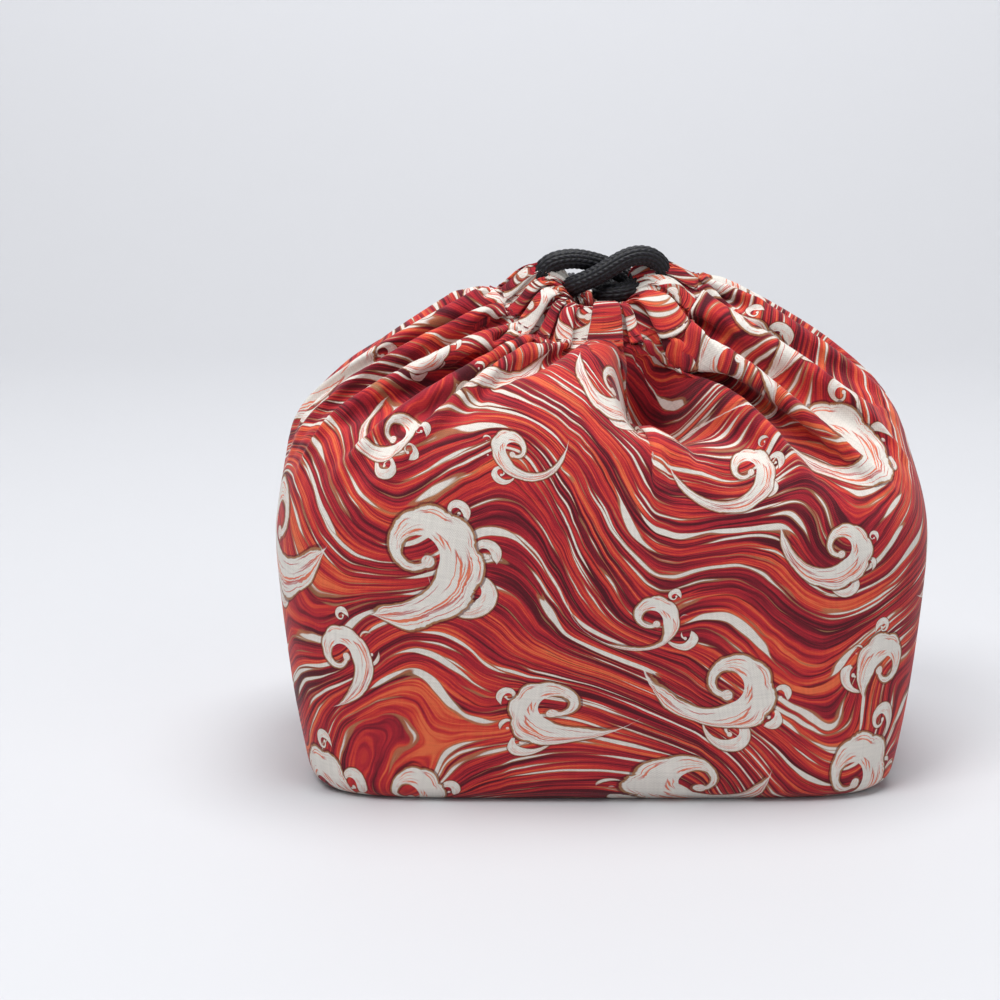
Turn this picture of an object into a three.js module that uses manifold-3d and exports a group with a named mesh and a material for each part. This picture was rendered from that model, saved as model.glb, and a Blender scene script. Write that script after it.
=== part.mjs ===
// Bento bag: a lined cotton drawstring bag, drawn closed, with two round cords over its mouth.
// Millimetres, +Z up, the front faces -Y, the origin is the centre of the base on the table.
import * as THREE from "three";
import { mergeVertices } from "three/addons/utils/BufferGeometryUtils.js";
import Module from "manifold-3d";

// Cloth and clearances
const CLOTH = 0.8;
const LINING_CLOTH = 0.6;
const LAYER_GAP = 0.3;
const SEAM_GAP = 0.3;
const NECK_GAP = 1.5;

// Cord
const CORD_D = 7;
const CORD_CLEAR = 0.6;
const TAIL_FLOOR_RUN = 46;
const KNOT_D = 12;

// Main sizes: width and depth at the belly, height of the front rim
const BAG_W = 243;
const BAG_D = 150;
const RIM_FRONT = 175.5;

// Mouth ring: the centreline of the cord channel, the rim over it and the channel's cross-section
const RING_A = 22;
const RING_B = 15;
const BACK_DROP = 4;
const SIDE_RISE = 11.5;
const RIM_BACK = RIM_FRONT - BACK_DROP;
const RIM_SIDE = RIM_FRONT + SIDE_RISE;
const PEAK_POWER = 1.3;
const RIM_RISE = 1.8;
const CASING_H = 15;
const CASING_FLARE = 8;
const SIDE_GAP = 5;
const CORD_LEVEL = 7.4;
const RUN_INSET = 0.04;
const PLEAT_DEPTH = 2.6;

// Slack of the cloth: both faces swell out a little at the middle; at the front shoulder there is a hollow to the
// right, a swelling to the left, and the shoulder leans down to the right. Places are shares of BAG_W and BAG_D.
const BACK_SWELL = 4;
const FRONT_SWELL = 7;
const HOLLOW = { x: 0.103, y: -0.307, across: 0.062, along: 0.087, drop: 20, inward: 7 };
const SWELLING = { x: -0.107, y: -0.333, across: 0.074, along: 0.1, rise: 5 };
const LEAN = { x: 0.05, across: 0.185, rise: 7 };

// Wall of the bag from the base up, as shares: half width of BAG_W, half depth of BAG_D, heights at the
// front and at the sides and drop of the corners of RIM_FRONT, depth of the pleats of PLEAT_DEPTH.
// The third value of each list is the squareness of the section.
const WALL = [
  [0.868, 0.92, 7, 0, 0, 0, 0],
  [0.901, 0.947, 6.5, 0.051, 0.051, 0, 0],
  [0.951, 0.973, 5.4, 0.205, 0.205, 0, 0],
  [1, 1, 4.4, 0.467, 0.467, 0, 0],
  [0.996, 1, 4, 0.575, 0.575, 0.006, 0],
  [0.959, 0.967, 3.6, 0.672, 0.684, 0.034, 0],
  [0.897, 0.893, 3.1, 0.76, 0.781, 0.057, 0.15],
  [0.733, 0.747, 2.6, 0.834, 0.869, 0.057, 0.54],
  [0.535, 0.573, 2.3, 0.87, 0.925, 0.04, 0.85],
  [0.362, 0.427, 2.1, 0.884, 0.955, 0.017, 1],
].map(([a, b, n, zf, zs, drop, pleat]) => ({
  a: (a * BAG_W) / 2,
  b: (b * BAG_D) / 2,
  n,
  zf: zf * RIM_FRONT,
  zs: zs * RIM_FRONT,
  drop: drop * RIM_FRONT,
  pleat: pleat * PLEAT_DEPTH,
}));
WALL.push({
  a: RING_A + CASING_FLARE,
  b: RING_B + CASING_FLARE,
  n: 2,
  zf: RIM_FRONT - CASING_H - NECK_GAP,
  zs: RIM_SIDE - CASING_H - NECK_GAP,
  drop: 0,
  pleat: PLEAT_DEPTH * 0.92,
});
const TOP = WALL.length - 1;
const ROWS = [0, 1, 2, 3, 4, 5, 6, 6.5, 7, 7.5, 8, 8.5, 9, TOP];
const COLUMNS = 32;
const PLEATS = 16;

const wasm = await Module();
wasm.setup();

// Two edges of the bag, by the height of their rim
const HALVES = { front: RIM_FRONT, back: RIM_BACK };

// How far towards a side peak a direction lies: 0 at front and back, 1 at the sides
function peak(phi) {
  return Math.pow(1 - Math.abs(Math.sin(phi)), PEAK_POWER);
}

// Height of the rim over the mouth ring
function rimHeight(phi, rim) {
  return rim + (RIM_SIDE - rim) * peak(phi);
}

// One value of the wall table at a level between its rows
function wallValue(key, u, rim) {
  const at = (i) => {
    const j = Math.min(Math.max(i, 0), TOP);
    const lowered = key === "zf" ? (rim - RIM_FRONT) * THREE.MathUtils.smoothstep(j, 4, 9) : 0;
    return WALL[j][key] + lowered;
  };
  const i = Math.min(Math.floor(u), TOP - 1);
  const f = u - i;
  const [p0, p1, p2, p3] = [at(i - 1), at(i), at(i + 1), at(i + 2)];
  const smooth = 2 * p1 + (p2 - p0) * f + (2 * p0 - 5 * p1 + 4 * p2 - p3) * f * f;
  const value = 0.5 * (smooth + (3 * p1 - p0 - 3 * p2 + p3) * f * f * f);
  return THREE.MathUtils.clamp(value, Math.min(p1, p2), Math.max(p1, p2));
}

// A smooth bump of the cloth round a place, 1 at the place
function bump(p, place) {
  const x = (p.x / BAG_W - place.x) / place.across;
  const y = (p.y / BAG_D - place.y) / place.along;
  return Math.exp(-x * x - y * y);
}

// Let the cloth slacken: the faces of both halves and the shoulder of the front one
function slacken(p, rim) {
  const mid = (p.z / RIM_FRONT - 0.4) / 0.2;
  const face = Math.exp(-Math.pow((6 * p.x) / BAG_W, 2) - mid * mid);
  const swell = rim === RIM_FRONT ? FRONT_SWELL : BACK_SWELL;
  p.y -= swell * face * THREE.MathUtils.smoothstep(-p.y / BAG_D, 0.3, 0.45);
  if (rim !== RIM_FRONT) {
    return p;
  }
  const high = THREE.MathUtils.clamp((p.z / RIM_FRONT - 0.57) / 0.114, 0, 1);
  const hollow = high * bump(p, HOLLOW);
  const swelling = high * bump(p, SWELLING);
  p.z += SWELLING.rise * swelling - HOLLOW.drop * hollow;
  p.y += HOLLOW.inward * hollow;
  const upper = THREE.MathUtils.clamp((p.z / RIM_FRONT - 0.541) / 0.171, 0, 1);
  const outer = THREE.MathUtils.clamp((-p.y / BAG_D - 0.16) / 0.2, 0, 1);
  p.z -= LEAN.rise * upper * outer * Math.tanh((p.x / BAG_W - LEAN.x) / LEAN.across);
  return p;
}

// A point of the wall without its pleats, in the frame of the front half
function wallPoint(u, phi, rim) {
  const c = Math.cos(phi);
  const s = Math.sin(phi);
  const power = 2 / wallValue("n", u, rim);
  const x = wallValue("a", u, rim) * Math.sign(c) * Math.pow(Math.abs(c), power);
  const y = wallValue("b", u, rim) * Math.sign(s) * Math.pow(Math.abs(s), power);
  const zf = wallValue("zf", u, rim);
  const zs = wallValue("zs", u, rim);
  const corner = Math.pow(Math.sin(2 * phi), 2);
  const z = zf + (zs - zf) * peak(phi) - wallValue("drop", u, rim) * corner;
  return slacken(new THREE.Vector3(x, y, z), rim);
}

// The outward direction of the plain wall, level at the neck so that pleats keep their height
function wallNormal(u, phi, rim) {
  const e = 0.02;
  const across = wallPoint(u, phi + e, rim).sub(wallPoint(u, phi - e, rim));
  const up = wallPoint(Math.min(u + e, TOP), phi, rim).sub(wallPoint(Math.max(u - e, 0), phi, rim));
  const normal = across.cross(up).normalize();
  const level = THREE.MathUtils.smoothstep(u, TOP - 2, TOP - 0.5);
  normal.z *= 1 - level;
  return normal.normalize();
}

// A point of one layer of cloth, a depth below the outer face, pleats included
function layerPoint(u, phi, rim, depth) {
  const h = wallValue("pleat", u, rim) * Math.cos(PLEATS * phi);
  const p = wallPoint(u, phi, rim).addScaledVector(wallNormal(u, phi, rim), h - depth);
  p.y = Math.min(p.y, -SEAM_GAP / 2);
  return p;
}

// A closed body from a grid of points whose rows are closed loops when wrap is set
function gridBody(rows, wrap) {
  const n = rows[0].length;
  const position = rows.flat().flatMap((p) => [p.x, p.y, p.z]);
  const index = [];
  const across = wrap ? n : n - 1;
  for (let i = 0; i + 1 < rows.length; i += 1) {
    for (let j = 0; j < across; j += 1) {
      const k = (j + 1) % n;
      const [a, b, c, d] = [i * n + j, i * n + k, (i + 1) * n + k, (i + 1) * n + j];
      index.push(a, b, c, a, c, d);
    }
  }
  return { position, index, n, rows: rows.length };
}

function toGeometry(position, index) {
  const g = new THREE.BufferGeometry();
  g.setAttribute("position", new THREE.Float32BufferAttribute(position, 3));
  g.setIndex(index);
  return g;
}

// A thin shell between an outer and an inner grid of the same size
function shell(outer, inner) {
  const n = outer[0].length;
  const m = outer.length;
  const out = gridBody(outer, false);
  const position = [...out.position, ...inner.flat().flatMap((p) => [p.x, p.y, p.z])];
  const base = n * m;
  const index = [...out.index];
  for (let i = 0; i < out.index.length; i += 3) {
    index.push(base + out.index[i], base + out.index[i + 2], base + out.index[i + 1]);
  }
  const edge = [];
  for (let j = 0; j < n - 1; j += 1) edge.push([j, j + 1]);
  for (let i = 0; i < m - 1; i += 1) edge.push([i * n + n - 1, (i + 1) * n + n - 1]);
  for (let j = n - 1; j > 0; j -= 1) edge.push([(m - 1) * n + j, (m - 1) * n + j - 1]);
  for (let i = m - 1; i > 0; i -= 1) edge.push([i * n, (i - 1) * n]);
  for (const [p, q] of edge) index.push(q, p, base + p, q, base + p, base + q);
  return toGeometry(position, index);
}

function toSolid(geometry) {
  const bare = geometry.index ? geometry.toNonIndexed() : geometry.clone();
  bare.deleteAttribute("normal");
  bare.deleteAttribute("uv");
  const merged = mergeVertices(bare, 1e-4);
  return new wasm.Manifold(
    new wasm.Mesh({
      numProp: 3,
      vertProperties: merged.attributes.position.array,
      triVerts: new Uint32Array(merged.index.array),
    }),
  );
}

function fromSolid(solid) {
  const mesh = solid.getMesh();
  return toGeometry(Array.from(mesh.vertProperties), Array.from(mesh.triVerts));
}

// Half of the bag in one cloth: the wall from side seam to side seam and its half of the base
function panel(rim, depth, cloth) {
  const phis = Array.from({ length: COLUMNS + 1 }, (_, j) => Math.PI * (1 + j / COLUMNS));
  const layer = (d) => ROWS.map((u) => phis.map((phi) => layerPoint(u, phi, rim, d)));
  const outer = layer(depth);
  const inner = layer(depth + cloth);
  for (const p of [...outer[0], ...inner[0]]) p.z = depth;
  const floor = new THREE.Shape();
  const edge = WALL[0];
  const inset = depth + cloth / 2;
  phis.forEach((phi, j) => {
    const p = wallPoint(0, phi, rim);
    const x = p.x * (1 - inset / edge.a);
    const y = Math.min(p.y * (1 - inset / edge.b), -SEAM_GAP / 2);
    if (j === 0) floor.moveTo(x, y);
    else floor.lineTo(x, y);
  });
  floor.closePath();
  const plate = new THREE.ExtrudeGeometry(floor, { depth: cloth, bevelEnabled: false });
  plate.translate(0, 0, depth);
  return fromSolid(toSolid(shell(outer, inner)).add(toSolid(plate)));
}

// Section of the cord channel: distance outside the ring and height above its lower edge
const CASING_OUT = [
  [CASING_FLARE + 0.6, 0],
  [CASING_FLARE, 4],
  [6.9, 9],
  [5.2, 12.6],
  [2.6, 14.5],
  [0, CASING_H],
  [-2.4, 14.5],
  [-4.5, 12.6],
  [-5.2, 9],
  [-5.2, 4],
  [-4.4, 0],
];
const CASING_PLEAT = [2.4, 2, 1.4, 0.8, 0.3, 0, 0.2, 0.4, 0.5, 0.5, 0.5];

// A point of the channel at a share of the way along it, from its left end to its right end
function casingPoint(share, k, height, pleat, rim) {
  const end = Math.asin(SIDE_GAP / (RING_B + k));
  const phi = Math.PI + end + share * (Math.PI - 2 * end);
  const r = k + pleat * Math.cos(PLEATS * phi) * Math.min(1, 8 * share, 8 * (1 - share));
  const x = (RING_A + r) * Math.cos(phi);
  const y = (RING_B + r) * Math.sin(phi);
  return new THREE.Vector3(x, Math.min(y, -SIDE_GAP), rimHeight(phi, rim) - CASING_H + height);
}

// The channel as a hollow sleeve, open at both ends
function casing(rim) {
  const middle = CASING_OUT.reduce((sum, p) => [sum[0] + p[0] / CASING_OUT.length, CASING_H / 2], [0, 0]);
  const loop = (share, wall) =>
    CASING_OUT.map(([k, h], i) => {
      const d = Math.hypot(k - middle[0], h - middle[1]);
      const f = 1 - wall / d;
      const kk = middle[0] + (k - middle[0]) * f;
      const hh = middle[1] + (h - middle[1]) * f;
      return casingPoint(share, kk, hh, CASING_PLEAT[i], rim);
    });
  const shares = Array.from({ length: COLUMNS + 1 }, (_, j) => j / COLUMNS);
  const outer = gridBody(shares.map((t) => loop(t, 0)), true);
  const inner = gridBody(shares.map((t) => loop(t, CLOTH)), true);
  const base = outer.n * outer.rows;
  const index = [];
  for (let i = 0; i < outer.index.length; i += 3) {
    const [a, b, c] = outer.index.slice(i, i + 3);
    index.push(a, c, b, base + a, base + b, base + c);
  }
  const last = outer.n * (outer.rows - 1);
  for (let j = 0; j < outer.n; j += 1) {
    const k = (j + 1) % outer.n;
    index.push(j, k, base + k, j, base + k, base + j);
    index.push(last + k, last + j, base + last + j, last + k, base + last + j, base + last + k);
  }
  return toGeometry([...outer.position, ...inner.position], index);
}

// A round cord along a smooth line through the given points
function cord(points, steps, diameter = CORD_D, sides = 8) {
  const section = new THREE.Shape(
    Array.from({ length: sides }, (_, i) => {
      const t = (2 * Math.PI * i) / sides;
      return new THREE.Vector2((diameter / 2) * Math.cos(t), (diameter / 2) * Math.sin(t));
    }),
  );
  const path = new THREE.CatmullRomCurve3(points, false, "centripetal");
  return new THREE.ExtrudeGeometry(section, { steps, extrudePath: path, bevelEnabled: false });
}

// The stretch of cord inside a channel, from its sewn end to the other end of the channel
function cordRun(rim) {
  const shares = Array.from({ length: 17 }, (_, i) => RUN_INSET + ((1 - 2 * RUN_INSET) * i) / 16);
  return cord(shares.map((t) => casingPoint(t, 0.4, CORD_LEVEL, 0, rim)), 28);
}

// The free stretch over the mouth: up out of the side gap, over an arch, across the other cord and
// back over the rear rim. The left cord crosses in front and the right cord behind it.
const RIM_PASS = RIM_BACK + RIM_RISE + CORD_D / 2 + CORD_CLEAR;
const LEG_FOOT = RIM_SIDE - CASING_H - 0.5;
const LEFT_ARCH = [
  [-21.4, 0, LEG_FOOT],
  [-21.5, 0, 178],
  [-21, -0.3, 183.2],
  [-18, -1, 187.6],
  [-14, -2, 189.7],
  [-10, -2.8, 190],
  [-5, -3.7, 188.9],
  [1.5, -4.1, 186.4],
  [6.5, -4.2, 183.4],
  [10, -3.6, 180.8],
  [12.2, -0.4, 178.6],
  [12, 5, RIM_PASS + 0.2],
  [11, 11, RIM_PASS],
  [10.4, 17, RIM_PASS],
  [10.2, 22, RIM_PASS - 1],
];
const RIGHT_ARCH = [
  [21.4, 0, LEG_FOOT],
  [21.9, 0, 178],
  [22, 0.3, 184],
  [20.4, 1, 189],
  [17, 2, 192.2],
  [13, 2.8, 193],
  [8.5, 3.5, 191.3],
  [3.5, 4.1, 188],
  [-1.5, 4.3, 184.6],
  [-6.5, 4.4, 181.2],
  [-9.6, 5.4, 179],
  [-10.8, 8.4, RIM_PASS + 0.2],
  [-10.8, 12.5, RIM_PASS],
  [-10.4, 17, RIM_PASS],
  [-10.2, 22, RIM_PASS - 1],
];

function arch(points) {
  return cord(points.map((p) => new THREE.Vector3(...p)), 38);
}

// The hanging stretch: down the outside of the back, then along the foot of the wall on the table
function tail(start, side) {
  const floor = CORD_D / 2 + CORD_CLEAR;
  const lead = new THREE.Vector3(0, 1, -0.26).normalize();
  const points = [0.5, 2.4].map((d) => new THREE.Vector3(...start).addScaledVector(lead, d));
  const reach = (u) => CORD_D / 2 + 2 * CORD_CLEAR + wallValue("pleat", u, RIM_BACK);
  points.push(new THREE.Vector3(start[0] * 1.03, start[1] + 5.6, start[2] - 3));
  points.push(new THREE.Vector3(start[0] * 1.06, start[1] + 9, start[2] - 8));
  for (const u of [9, 8.4, 7.7, 7, 6.4, 5.8, 5.2, 4.6, 4]) {
    const x = start[0] * (1.1 + 0.07 * (9 - u));
    const phi = -Math.acos(Math.abs(x) / wallValue("a", u, RIM_BACK)) * 1;
    const p = wallPoint(u, phi, RIM_BACK);
    const n = wallNormal(u, phi, RIM_BACK);
    p.addScaledVector(n, reach(u));
    points.push(new THREE.Vector3(x, -p.y, p.z));
  }
  const hang = points[points.length - 1];
  const out = BAG_D / 2 + BACK_SWELL + CORD_D / 2 + 2 * CORD_CLEAR;
  const low = new THREE.Vector3(hang.x * 1.03, out + 0.4, 30);
  points.push(new THREE.Vector3(hang.x * 1.005, out, 85), new THREE.Vector3(hang.x * 1.01, out + 0.4, 66), low);
  points.push(new THREE.Vector3(low.x + side * 1.6, low.y, 14));
  points.push(new THREE.Vector3(low.x + side * 6.5, low.y, 6));
  points.push(new THREE.Vector3(low.x + side * 14, low.y, floor));
  points.push(new THREE.Vector3(low.x + side * TAIL_FLOOR_RUN, low.y - 1, floor));
  return points;
}

// A stopper knot at the end of a tail: a short barrel, round at both ends, beside the cord's cut end
function stopper(points, side) {
  const end = points[points.length - 1];
  const profile = [
    [0, 0],
    [CORD_D / 2 + 0.6, 0.2],
    [KNOT_D / 2 - 0.5, 2.2],
    [KNOT_D / 2, 6],
    [KNOT_D / 2 - 0.5, 9.8],
    [CORD_D / 2 + 0.6, 11.8],
    [0, 12],
  ].map(([r, z]) => new THREE.Vector2(r, z));
  const knot = new THREE.LatheGeometry(profile, 12);
  knot.rotateY(Math.PI / 12);
  knot.rotateZ((-side * Math.PI) / 2);
  knot.translate(end.x + side * LAYER_GAP, end.y, KNOT_D / 2 + 0.2);
  return knot;
}

const CLOTH_LOOK = new THREE.MeshStandardMaterial({ color: 0xb8281e, roughness: 0.9 });
const LINING_LOOK = new THREE.MeshStandardMaterial({ color: 0xe6dccb, roughness: 0.9 });
const CORD_LOOK = new THREE.MeshStandardMaterial({ color: 0x14141c, roughness: 0.85 });

const bag = new THREE.Group();
bag.name = "bento_bag";

function add(name, geometry, look, turned = false) {
  if (turned) geometry.rotateZ(Math.PI);
  geometry.computeVertexNormals();
  const mesh = new THREE.Mesh(geometry, look);
  mesh.name = name;
  bag.add(mesh);
}

for (const [name, rim] of Object.entries(HALVES)) {
  const turned = name === "back";
  add(`${name}_panel`, panel(rim, 0, CLOTH), CLOTH_LOOK, turned);
  add(`${name}_lining`, panel(rim, CLOTH + LAYER_GAP, LINING_CLOTH), LINING_LOOK, turned);
  add(`${name}_casing`, casing(rim), CLOTH_LOOK, turned);
}

// The left cord gathers the front of the mouth, the right cord gathers the back
add("left_cord_run", cordRun(RIM_FRONT), CORD_LOOK);
add("right_cord_run", cordRun(RIM_BACK), CORD_LOOK, true);
add("left_cord_arch", arch(LEFT_ARCH), CORD_LOOK);
add("right_cord_arch", arch(RIGHT_ARCH), CORD_LOOK);

const leftTail = tail(LEFT_ARCH[LEFT_ARCH.length - 1], 1);
const rightTail = tail(RIGHT_ARCH[RIGHT_ARCH.length - 1], -1);
add("left_cord_tail", cord(leftTail, 36), CORD_LOOK);
add("right_cord_tail", cord(rightTail, 36), CORD_LOOK);
add("left_end_knot", stopper(leftTail, 1), CORD_LOOK);
add("right_end_knot", stopper(rightTail, -1), CORD_LOOK);

export default bag;
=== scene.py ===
"""A drawstring bento bag of printed cotton, drawn closed on two black cords."""

import logging
import math
from dataclasses import dataclass, field
from enum import Enum
from typing import Any, Callable

import bpy
import numpy as np
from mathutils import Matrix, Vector


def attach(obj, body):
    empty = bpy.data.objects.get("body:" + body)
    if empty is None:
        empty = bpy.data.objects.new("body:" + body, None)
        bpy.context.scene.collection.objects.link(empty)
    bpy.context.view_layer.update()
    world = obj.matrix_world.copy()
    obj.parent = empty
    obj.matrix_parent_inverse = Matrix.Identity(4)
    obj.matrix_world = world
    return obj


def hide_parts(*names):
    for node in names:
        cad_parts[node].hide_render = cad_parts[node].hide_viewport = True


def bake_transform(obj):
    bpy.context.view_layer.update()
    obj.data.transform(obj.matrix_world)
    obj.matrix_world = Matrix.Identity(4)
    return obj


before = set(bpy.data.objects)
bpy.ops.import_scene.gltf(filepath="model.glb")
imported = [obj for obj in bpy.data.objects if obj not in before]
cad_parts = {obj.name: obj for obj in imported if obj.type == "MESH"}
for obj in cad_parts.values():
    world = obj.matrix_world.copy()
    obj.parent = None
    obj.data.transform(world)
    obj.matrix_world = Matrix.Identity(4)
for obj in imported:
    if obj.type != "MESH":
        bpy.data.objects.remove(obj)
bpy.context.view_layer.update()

LOG = logging.getLogger("bento_bag")
MM = 0.001
SIDE_POWER = 1.3
STITCH_ROW = 3
Colour = tuple[float, float, float, float]


def linear(red: int, green: int, blue: int) -> Colour:
    """Turn a colour on the 0 to 255 screen scale into linear light.

    Args:
        red: Red on the screen scale.
        green: Green on the screen scale.
        blue: Blue on the screen scale.

    Returns:
        Linear red, green, blue and an alpha of one.
    """
    share = np.array([red, green, blue]) / 255.0
    light = np.where(share <= 0.04045, share / 12.92, ((share + 0.055) / 1.055) ** 2.4)
    return float(light[0]), float(light[1]), float(light[2]), 1.0


def spline(points: np.ndarray, steps: np.ndarray, ring: bool) -> np.ndarray:
    """Read a Catmull-Rom spline through the rows of an array.

    Between rows p1 and p2 the curve is half of 2 p1 + (p2 - p0) f + (2 p0 - 5 p1 + 4 p2 - p3) f f
    + (3 p1 - p0 - 3 p2 + p3) f f f, where f runs from 0 to 1.

    Args:
        points: Array whose first axis is the one to interpolate.
        steps: Row numbers to read, whole or not.
        ring: Whether the last row is followed by the first.

    Returns:
        Array with one row for each step.
    """
    count = len(points)
    low = np.floor(steps).astype(int)
    if ring:
        rows = [points[np.mod(low + k, count)] for k in (-1, 0, 1, 2)]
    else:
        low = np.clip(low, 0, count - 2)
        ends = [2 * points[:1] - points[1:2], points, 2 * points[-1:] - points[-2:-1]]
        padded = np.concatenate(ends)
        rows = [padded[low + k] for k in (0, 1, 2, 3)]
    f = (steps - low).reshape((-1,) + (1,) * (points.ndim - 1))
    p0, p1, p2, p3 = rows
    cubic = (3 * p1 - p0 - 3 * p2 + p3) * f**3
    return 0.5 * (2 * p1 + (p2 - p0) * f + (2 * p0 - 5 * p1 + 4 * p2 - p3) * f**2 + cubic)


def eased(values: np.ndarray) -> np.ndarray:
    """Return values kept between 0 and 1, with a smooth start and end."""
    kept = np.clip(values, 0, 1)
    return kept * kept * (3 - 2 * kept)


def arc_lengths(points: np.ndarray) -> np.ndarray:
    """Measure the way along a line.

    Args:
        points: Points of the line, one in each row.

    Returns:
        Distance from the first point to each point.
    """
    steps = np.linalg.norm(np.diff(points, axis=0), axis=1)
    return np.concatenate([[0.0], np.cumsum(steps)])


def evenly(points: np.ndarray, spacing: float) -> np.ndarray:
    """Draw a smooth line through points and cut it in even steps.

    Args:
        points: Points on the line.
        spacing: Length of one step.

    Returns:
        Points at even distances, the first and last among them.
    """
    fine = spline(points, np.linspace(0, len(points) - 1, len(points) * 24), False)
    way = arc_lengths(fine)
    marks = np.linspace(0, way[-1], max(2, int(round(way[-1] / spacing)) + 1))
    return np.stack([np.interp(marks, way, fine[:, k]) for k in range(3)], axis=1)


def grid_normals(grid: np.ndarray) -> np.ndarray:
    """Find the unit normals of a grid surface.

    Each normal is the cross product of the steps along the columns and along the rows.

    Args:
        grid: Points as rows by columns by three.

    Returns:
        Unit normals in the same layout.
    """
    across = np.gradient(grid, axis=1)
    up = np.gradient(grid, axis=0)
    normal = np.cross(across, up)
    return normal / np.maximum(np.linalg.norm(normal, axis=-1, keepdims=True), 1e-9)


def around(values: np.ndarray, cols: int, rows: int, pick: Callable[..., np.ndarray]) -> np.ndarray:
    """Pick one value out of those near each place of a grid whose columns form a ring.

    Args:
        values: One number for each place, as rows by columns.
        cols: Columns to look at on either side.
        rows: Rows to look at above and below.
        pick: What is taken of them, such as their largest or their mean.

    Returns:
        The picked numbers in the same layout.
    """
    wide = pick([np.roll(values, k, axis=1) for k in range(-cols, cols + 1)], axis=0)
    tall = np.pad(wide, ((rows, rows), (0, 0)), mode="edge")
    return pick([tall[k : k + len(wide)] for k in range(2 * rows + 1)], axis=0)


def grid_faces(rows: int, cols: int, first: int = 0, flip: bool = False) -> np.ndarray:
    """Number the quads of a grid.

    Args:
        rows: Rows of points.
        cols: Columns of points.
        first: Number of the grid's first point.
        flip: Whether the quads face the other way.

    Returns:
        Four point numbers for each quad.
    """
    index = np.arange(rows * cols).reshape(rows, cols) + first
    quads = np.stack([index[:-1, :-1], index[:-1, 1:], index[1:, 1:], index[1:, :-1]], axis=-1)
    quads = quads.reshape(-1, 4)
    return quads[:, ::-1] if flip else quads


def ring_faces(rows: int, cols: int) -> np.ndarray:
    """Number the quads of a grid whose columns form a ring.

    Args:
        rows: Rows of points.
        cols: Columns of points.

    Returns:
        Four point numbers for each quad.
    """
    index = np.arange(rows * cols).reshape(rows, cols)
    after = np.roll(index, -1, axis=1)
    return np.stack([index[:-1], after[:-1], after[1:], index[1:]], axis=-1).reshape(-1, 4)


def base_rows(foot: np.ndarray, rows: int, seam: float) -> tuple[np.ndarray, np.ndarray]:
    """Run rows of points straight in Y from a wall's foot to the seam along X.

    The rows narrow by a few percent, so that no quad folds up at the sides.

    Args:
        foot: Points of the wall's foot.
        rows: Rows to make.
        seam: Place of the seam in Y.

    Returns:
        Points with a height of zero, and each row's share of the way from the seam to the foot.
    """
    t = np.linspace(0, 1, rows, endpoint=False)[:, None]
    base = np.zeros((rows, len(foot), 3))
    base[:, :, 0] = foot[None, :, 0] * (0.94 + 0.06 * t)
    base[:, :, 1] = foot[None, :, 1] * t + seam * (1 - t)
    return base, t


def make_piece(
    name: str, points: np.ndarray, faces: np.ndarray, values: dict[str, np.ndarray] | None = None
) -> bpy.types.Object:
    """Put a mesh into the scene.

    Args:
        name: Name of the piece.
        points: Points in millimetres.
        faces: Point numbers of each face.
        values: Extra values kept at each point.

    Returns:
        The new object, at the origin.
    """
    mesh = bpy.data.meshes.new(name)
    mesh.from_pydata((points * MM).tolist(), [], faces.tolist())
    mesh.polygons.foreach_set("use_smooth", np.ones(len(mesh.polygons), dtype=bool))
    for key, data in (values or {}).items():
        kind = "FLOAT" if data.ndim == 1 else "FLOAT_VECTOR"
        layer = mesh.attributes.new(key, kind, "POINT")
        layer.data.foreach_set("value" if data.ndim == 1 else "vector", data.astype(np.float32).ravel())
    mesh.update()
    piece = bpy.data.objects.new(name, mesh)
    bpy.context.scene.collection.objects.link(piece)
    return piece


def closed_sheet(
    name: str, outer: np.ndarray, thickness: float, values: dict[str, np.ndarray] | None = None
) -> bpy.types.Object:
    """Make a thin closed body of cloth from its outer face.

    The inner face is the outer one moved back along its normals by the thickness and kept over
    the floor, and four strips of quads close the edges.

    Args:
        name: Name of the piece.
        outer: Outer face as rows by columns by three, in millimetres.
        thickness: Thickness of the cloth in millimetres.
        values: Extra values at the outer face's points, used for both faces.

    Returns:
        The new object.
    """
    rows, cols = outer.shape[:2]
    inner = outer - grid_normals(outer) * thickness
    inner[..., 2] = np.maximum(inner[..., 2], 0.1)
    count = rows * cols
    index = np.arange(count).reshape(rows, cols)
    rim = np.concatenate([index[0, :-1], index[:-1, -1], index[-1, :0:-1], index[:0:-1, 0]])
    after = np.roll(rim, -1)
    edge = np.stack([after, rim, rim + count, after + count], axis=1)
    faces = np.concatenate(
        [grid_faces(rows, cols), grid_faces(rows, cols, count, flip=True), edge]
    )
    points = np.concatenate([outer.reshape(-1, 3), inner.reshape(-1, 3)])
    doubled = {
        key: np.concatenate([data.reshape((count,) + data.shape[2:])] * 2)
        for key, data in (values or {}).items()
    }
    return make_piece(name, points, faces, doubled)


class Half(Enum):
    """The two halves that each cloth layer is cut in."""

    FRONT = "front"
    BACK = "back"

    @property
    def sign(self) -> float:
        """Sign of Y on this half."""
        return -1.0 if self is Half.FRONT else 1.0


class Side(Enum):
    """The two sides where a cord leaves the casings, with the sign of X there."""

    LEFT = -1
    RIGHT = 1

    @property
    def label(self) -> str:
        """Name of the side."""
        return self.name.lower()


@dataclass(frozen=True)
class Bell:
    """A bell over the plan, one in its middle.

    Attributes:
        x: Place of its middle along X.
        y: Place of its middle along Y.
        wide: Width along X.
        deep: Width along Y.
    """

    x: float
    y: float
    wide: float
    deep: float

    def at(self, x: np.ndarray, y: np.ndarray) -> np.ndarray:
        """Return e to the power of less the squared shares of the widths."""
        return np.exp(-(((x - self.x) / self.wide) ** 2) - ((y - self.y) / self.deep) ** 2)


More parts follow.
